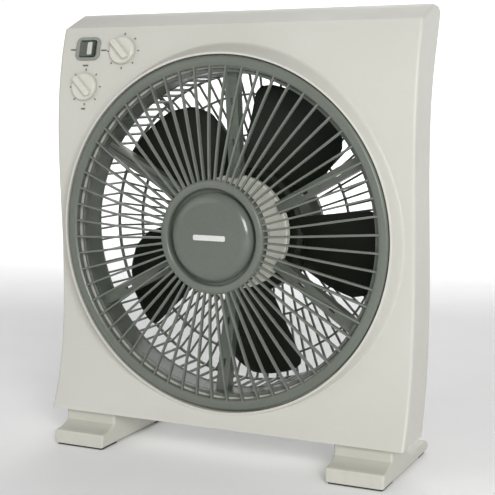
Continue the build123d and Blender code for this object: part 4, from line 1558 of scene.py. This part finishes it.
@dataclass
class RearGuard:
    """Basket guard: flange, slotted side wall, barred back and centre plate."""

    bars: int = 84
    first_bar: float = 1.5
    bar_depth: float = 3.0
    thickness: float = 2.0
    corner: float = 76.0
    centre: float = 113.4
    basket_r: float = 145.0
    plate_r: float = 55.0
    wall_r: float = 148.25
    bend_r: float = 142.6
    long_end: float = 55.5
    hoops: tuple[float, float] = (128.0, 90.0)

    def depth(self, radius: float) -> float:
        """Depth of the back's inner side at a radius."""
        rise = (self.centre - self.corner) / (self.basket_r - self.plate_r)
        return self.corner + (self.basket_r - radius) * rise

    def bar_line(self, inner: float) -> list[Point2]:
        """Middle line of one bar, up the side wall and in along the back.

        Args:
            inner: radius of the bar's inner end.

        Returns:
            The line as (radius, depth).
        """
        half = self.bar_depth / 2
        wall = [(self.wall_r, depth) for depth in (35.8, 48.0, 60.0, 70.5)]
        bend_end = (self.bend_r, self.depth(self.bend_r) + half)
        bend = curve_through((self.wall_r, 72.0), (147.0, 76.6), bend_end, 6)
        back = [(r, self.depth(r) + half) for r in np.linspace(self.bend_r, inner, 10)][1:]
        return wall + bend + back

    def build(self) -> None:
        """Builds the whole guard as one piece."""
        parts = [
            lathe("flange", soften([(147.0, 34.6), (160.0, 34.6), (160.0, 37.0), (147.0, 37.0)], 0.5), 200),
            lathe("corner", soften([(147.0, 71.6), (149.5, 71.6), (149.5, 74.6), (147.0, 74.6)], 0.7), 200),
            lathe("plate", soften([(14.0, 113.4), (53.5, 113.4), (53.5, 111.3), (58.0, 111.3),
                                   (58.0, 117.1), (53.0, 117.1), (53.0, 115.8), (14.0, 115.8)], 0.5), 140)]
        for radius in self.hoops:
            front = self.depth(radius)
            profile = [(radius - 1.0, front - 0.3), (radius + 1.0, front - 0.3),
                       (radius + 1.0, front + 3.3), (radius - 1.0, front + 3.3)]
            parts.append(lathe("hoop", soften(profile, 0.6), 200))
        section = (self.bar_depth, self.thickness, 0.8)
        step = 360.0 / self.bars
        for name, inner, first in (("long_bars", self.long_end, self.first_bar),
                                   ("short_bars", self.hoops[1], self.first_bar + step)):
            parts.append(radial_bars(name, self.bar_line(inner), section, self.bars // 2, first, GREY))
        guard = joined("rear_basket", parts)
        dress(settle(guard, sharp=38.0), GREY, Body.FRAME, "rear_guard")
        for node, name, bevel, finish in (
                ("motor_cover", "motor_dome", 0.35, GREY), ("motor_lead", "motor_cable", 0.0, LEAD),
                ("cord_gland", "inlet_gland", 0.25, RUBBER),
                ("lead_grommet", "cable_grommet", 0.2, RUBBER)):
            dress(cad_copy(node, name, bevel=bevel), finish, Body.FRAME, node)


# ---------------------------------------------------------------- controls
def printed_bars(bars: Sequence[Point3]) -> list[Piece]:
    """Short raised bars on a face, each given as (across, up, length).

    Args:
        bars: the bars.

    Returns:
        One piece for each bar.
    """
    result = []
    for across, up, length in bars:
        outline = [(across + x, up + y) for x, y in rounded_rectangle(length, 1.5, 0.6, 3)]
        result.append(prism("bar", outline, -0.2, 0.16, 0.08, "uvt", 2))
    return result


@dataclass
class Dial:
    """Turned knob with a bar grip, and the marks printed round it."""

    joint: str
    body: Body
    node: str
    height: float
    radius: float = 13.2
    gap: float = 0.6
    lean: float = -45.0
    marks: int = 8
    mark_ring: float = 16.6
    labels: Sequence[Point3] = ()

    def knob(self) -> Piece:
        """The knob in its own frame.

        Returns:
            The knob, its grip and its pointer as one piece.
        """
        skirt = lathe("skirt", [
            (0.0, self.gap), (12.7, self.gap), (self.radius, 1.1), (13.15, 3.0), (12.9, 4.0), (12.3, 4.7),
            (11.4, 5.0), (10.6, 4.85), (0.0, 5.0)], 72, upright=True)
        length = 2 * self.radius - 2.2
        grip = prism("grip", rounded_rectangle(length, 6.6, 2.6, 6), 2.4, self.height, 1.5, "uvt", 4)
        line = prism("pointer", rounded_rectangle(5.4, 1.1, 0.4, 3), self.height - 0.4,
                     self.height + 0.3, 0.2, "uvt", 2)
        line.data.transform(Matrix.Translation((-8.2, 0.0, 0.0)))
        knob = joined(self.node.replace("_", "_dial_"), [skirt, grip, line])
        knob.data.transform(Matrix.Rotation(math.radians(self.lean), 4, "Z"))
        return knob

    def build(self) -> None:
        """Builds the knob on its body and the fixed marks on the face."""
        place = face_place(self.joint)
        dress(settle(self.knob(), place, sharp=38.0), KNOB, self.body, self.node)
        outline = [(self.mark_ring + x, y) for x, y in rounded_rectangle(2.2, 1.2, 0.4, 3)]
        marks = radial(prism("mark", outline, -0.16, 0.2, 0.1, "utv", 2), self.marks, 0.0, MARK)
        marks.data.transform(Matrix.Rotation(math.radians(-90.0), 4, "X"))
        piece = joined(self.body.value + "_marks", [marks] + printed_bars(self.labels))
        dress(settle(piece, place), MARK, Body.FRAME)


@dataclass
class RockerSwitch:
    """Louver switch: bezel, two-way rocker with a pale pad, and its pin."""

    rest: float = 8.0
    saddle_half: float = 7.4
    pad_tilt: float = 7.7

    def bezel(self) -> Piece:
        """Rounded frame with the collar that passes through the face.

        Returns:
            The frame, from rings given as (width, height, corner radius, height over the face).
        """
        profile = [(26.6, 22.6, 6.0, 0.0), (26.6, 22.6, 6.0, 1.1), (26.2, 22.2, 5.8, 1.7),
                   (25.2, 21.2, 5.3, 2.15), (24.4, 20.4, 5.0, 2.2), (22.6, 18.9, 4.2, 2.05),
                   (20.2, 17.4, 3.0, 1.8), (18.9, 16.7, 2.0, 1.2), (18.6, 16.4, 1.6, 0.4),
                   (18.6, 16.4, 1.2, -10.0), (20.8, 18.6, 1.6, -10.0), (20.8, 18.6, 1.6, 0.0)]
        loops = [(rounded_rectangle(width, height, corner, 6), out)
                 for width, height, corner, out in profile]
        return loft_ring("switch_frame", loops)

    def saddle(self) -> Piece:
        """Rocker body with its dished top, drawn about its pin.

        Returns:
            The rocker body.
        """
        half = self.saddle_half
        top = curve_through((half, 7.2), (0.0, 6.2), (-half, 7.2), 12)
        outline = [(-half, -2.6), (half, -2.6)] + top
        return prism("rocker_saddle", outline, -7.7, 7.7, 1.0, "utv", 4)

    def pad(self) -> Piece:
        """Pale inlay with rounded edges.

        Returns:
            The inlay.
        """
        pad = prism("rocker_inlay", rounded_rectangle(5.8, 12.2, 1.3, 4), -0.7, 0.7, 0.3, "uvt", 3)
        turn = Matrix.Rotation(math.radians(-self.pad_tilt), 4, "Y")
        pad.data.transform(Matrix.Translation((3.8, 0.0, 6.91)) @ turn)
        return pad

    def build(self) -> None:
        """Builds the switch on the face and the rocker on its body."""
        place = switch_place()
        turn = Matrix.Rotation(math.radians(-self.rest), 4, "Y")
        pin = place @ Matrix.Translation((0.0, 0.0, -PIN_DEPTH)) @ turn
        dress(settle(self.bezel(), place, sharp=40.0), BEZEL, Body.FRAME, "switch_bezel")
        dress(settle(self.saddle(), pin, sharp=36.0), ROCKER, Body.ROCKER, "rocker")
        dress(settle(self.pad(), pin), KNOB, Body.ROCKER, "rocker_pad")
        marks = joined("switch_marks", printed_bars([(-17.2, -0.5, 6.0), (17.6, -1.5, 6.6)]))
        dress(settle(marks, place), MARK, Body.FRAME)


# ---------------------------------------------------------------- screws
@dataclass
class ScrewSet:
    """Pan-head screws of one kind, driven from behind."""

    node: str
    name: str
    places: Sequence[Point2]
    seat: float
    head_r: float
    head_h: float
    shank: float = 1.6

    def head(self) -> Piece:
        """Domed head and the start of its shank, with a cross recess.

        Returns:
            The head on the fan axis.
        """
        r, h, seat = self.head_r, self.head_h, self.seat
        profile = [(0.0, seat + h), (0.5 * r, seat + 0.94 * h), (0.82 * r, seat + 0.68 * h),
                   (r, seat + 0.2 * h), (r, seat), (0.42 * r, seat), (0.42 * r, seat - self.shank),
                   (0.0, seat - self.shank)]
        head = lathe("head", profile, 28)
        for width, height in ((1.1 * r, 0.3 * r), (0.3 * r, 1.1 * r)):
            corners = ((1, 1), (-1, 1), (-1, -1), (1, -1))
            outline = [(across * width / 2, up * height / 2) for across, up in corners]
            carve(head, prism("bit", outline, seat + 0.45 * h, seat + 2 * h, 0.0, "utv", 1))
        return head

    def build(self) -> None:
        """Builds every screw of the set as one piece."""
        spots = raw_piece("spots", [(x, 0.0, z) for x, z in self.places], [])
        screws = grow(self.head(), PLACED, {"Places": spots, "Material": SCREW.material()})
        bpy.data.objects.remove(spots)
        screws.name = self.name
        dress(settle(screws, sharp=30.0), SCREW, Body.FRAME, self.node)


def screw_sets() -> list[ScrewSet]:
    """The screw kinds that show from behind.

    Returns:
        The sets, in the order of building.
    """
    posts = [(side * 171.5, z) for side in (-1, 1) for z in (-165.0, -62.0, 62.0, 165.0)]
    ring = [polar(155.5, 22.5 + 45 * i) for i in range(8)]
    cover = [(-159.5, 184.5), (-90.5, 184.5), (-124.0, 119.6)]
    return [ScrewSet("panel_screws", "rear_panel_screws", posts, 34.5, 3.6, 2.2),
            ScrewSet("guard_screws", "basket_screws", ring, 37.0, 3.2, 2.0),
            ScrewSet("cover_screws", "pocket_cover_screws", cover, 60.0, 3.0, 2.0)]


# ---------------------------------------------------------------- carried-over pieces and studio
def slots_of_nodes() -> dict[str, str]:
    """Material slot of each CAD node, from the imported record."""
    return {part["node"]: part["material_slot"] for part in frame["record"]["subparts"]}


def dress_cad_nodes() -> None:
    """Gives every CAD node that still shows its procedural finish."""
    slots = slots_of_nodes()
    for name, node in frame["nodes"].items():
        if node.hide_render:
            continue
        finish = FINISHES.get(slots.get(name, ""), ZINC)
        node.data.materials.clear()
        node.data.materials.append(finish.material())
        LOG.info("%s keeps its shape in %s", name, finish.name)


@dataclass(frozen=True)
class Lamp:
    """Square area light: its place, what it faces, its width in metres and its power in watts."""

    name: str
    place: Point3
    aim: Point3
    size: float
    power: float

    def build(self) -> None:
        """Adds the light to the scene."""
        data = bpy.data.lights.new(self.name, "AREA")
        data.size = self.size
        data.energy = self.power
        lamp = bpy.data.objects.new(self.name, data)
        lamp.location = self.place
        way = Vector(self.aim) - Vector(self.place)
        lamp.rotation_euler = way.to_track_quat("-Z", "Y").to_euler()
        bpy.context.scene.collection.objects.link(lamp)


@dataclass
class Studio:
    """Pale floor and backdrop, soft lights and the camera; its sizes are metres."""

    floor_front: float = -6.0
    bend_start: float = 2.4
    bend_r: float = 1.2
    wall_top: float = 5.0
    half_width: float = 7.0
    ambient: float = 0.40
    lamps: tuple[Lamp, ...] = (
        Lamp("key", (1.15, -1.5, 0.75), (0.0, 0.0, 0.2), 0.7, 22.0),
        Lamp("fill", (-1.5, -1.7, 1.0), (0.0, 0.0, 0.2), 1.6, 7.0),
        Lamp("back", (-0.4, 1.3, 2.6), (-1.2, 3.4, 2.0), 2.0, 110.0),
        Lamp("overhead", (-1.0, 2.7, 2.0), (-1.0, 2.7, 0.0), 2.0, 10.0))
    location: Point3 = (0.4768, -0.9952, 0.3361)
    azimuth: float = 25.353
    elevation: float = 7.368
    roll: float = -0.117
    lens: float = 85.26

    def backdrop(self) -> None:
        """Floor that curves up into a backdrop behind the object."""
        line = [(self.floor_front, 0.0), (self.bend_start, 0.0)]
        for turn in np.linspace(0.1, math.pi / 2, 12):
            line.append((self.bend_start + self.bend_r * math.sin(turn),
                         self.bend_r * (1 - math.cos(turn))))
        line.append((self.bend_start + self.bend_r, self.wall_top))
        corners = [(x, y, z) for x in (-self.half_width, self.half_width) for y, z in line]
        count = len(line)
        faces = [(k, k + 1, count + k + 1, count + k) for k in range(count - 1)]
        floor = raw_piece("studio_floor", corners, faces)
        floor.data.shade_smooth()
        paint = Finish("studio_white", "housing_plastic", (0.95, 0.95, 0.95), (0.93, 0.93, 0.93),
                       roughness=0.85, relief=0.0)
        floor.data.materials.append(paint.material())

    def camera(self) -> None:
        """Camera in front of the object, a little to its right and above it."""
        data = bpy.data.cameras.new("view")
        data.lens = self.lens
        data.sensor_width = 36.0
        data.clip_start = 0.05
        data.clip_end = 50.0
        eye = bpy.data.objects.new("view", data)
        a, e = math.radians(self.azimuth), math.radians(self.elevation)
        back = Vector((math.sin(a) * math.cos(e), -math.cos(a) * math.cos(e), math.sin(e)))
        right = Vector((math.cos(a), math.sin(a), 0.0))
        turn = Matrix((right, back.cross(right), back)).transposed()
        turn = turn @ Matrix.Rotation(math.radians(self.roll), 3, "Z")
        eye.matrix_world = Matrix.Translation(Vector(self.location)) @ turn.to_4x4()
        bpy.context.scene.collection.objects.link(eye)
        bpy.context.scene.camera = eye

    def build(self) -> None:
        """Sets up the studio."""
        self.backdrop()
        self.camera()
        world = bpy.data.worlds.new("soft_room")
        world.use_nodes = True
        sky = world.node_tree.nodes["Background"]
        sky.inputs["Color"].default_value = (1.0, 1.0, 1.0, 1.0)
        sky.inputs["Strength"].default_value = self.ambient
        bpy.context.scene.world = world
        for lamp in self.lamps:
            lamp.build()
        bpy.context.scene.view_settings.view_transform = "Standard"


def main() -> None:
    """Builds every sub-assembly in order, then the studio."""
    logging.basicConfig(level=logging.INFO, format="%(message)s")
    Housing().build()
    Foot().build()
    Spider().build()
    LouverGrille().build()
    FanWheel().build()
    RearGuard().build()
    Dial("speed_turn", Body.SPEED, "speed_knob", 10.5).build()
    timer_labels = ((-1.0, 20.6, 6.0), (-1.0, -21.0, 4.6))
    Dial("timer_turn", Body.TIMER, "timer_knob", 9.5, labels=timer_labels).build()
    RockerSwitch().build()
    for screws in screw_sets():
        screws.build()
    dress_cad_nodes()
    Studio().build()


if __name__ == "__main__":
    main()
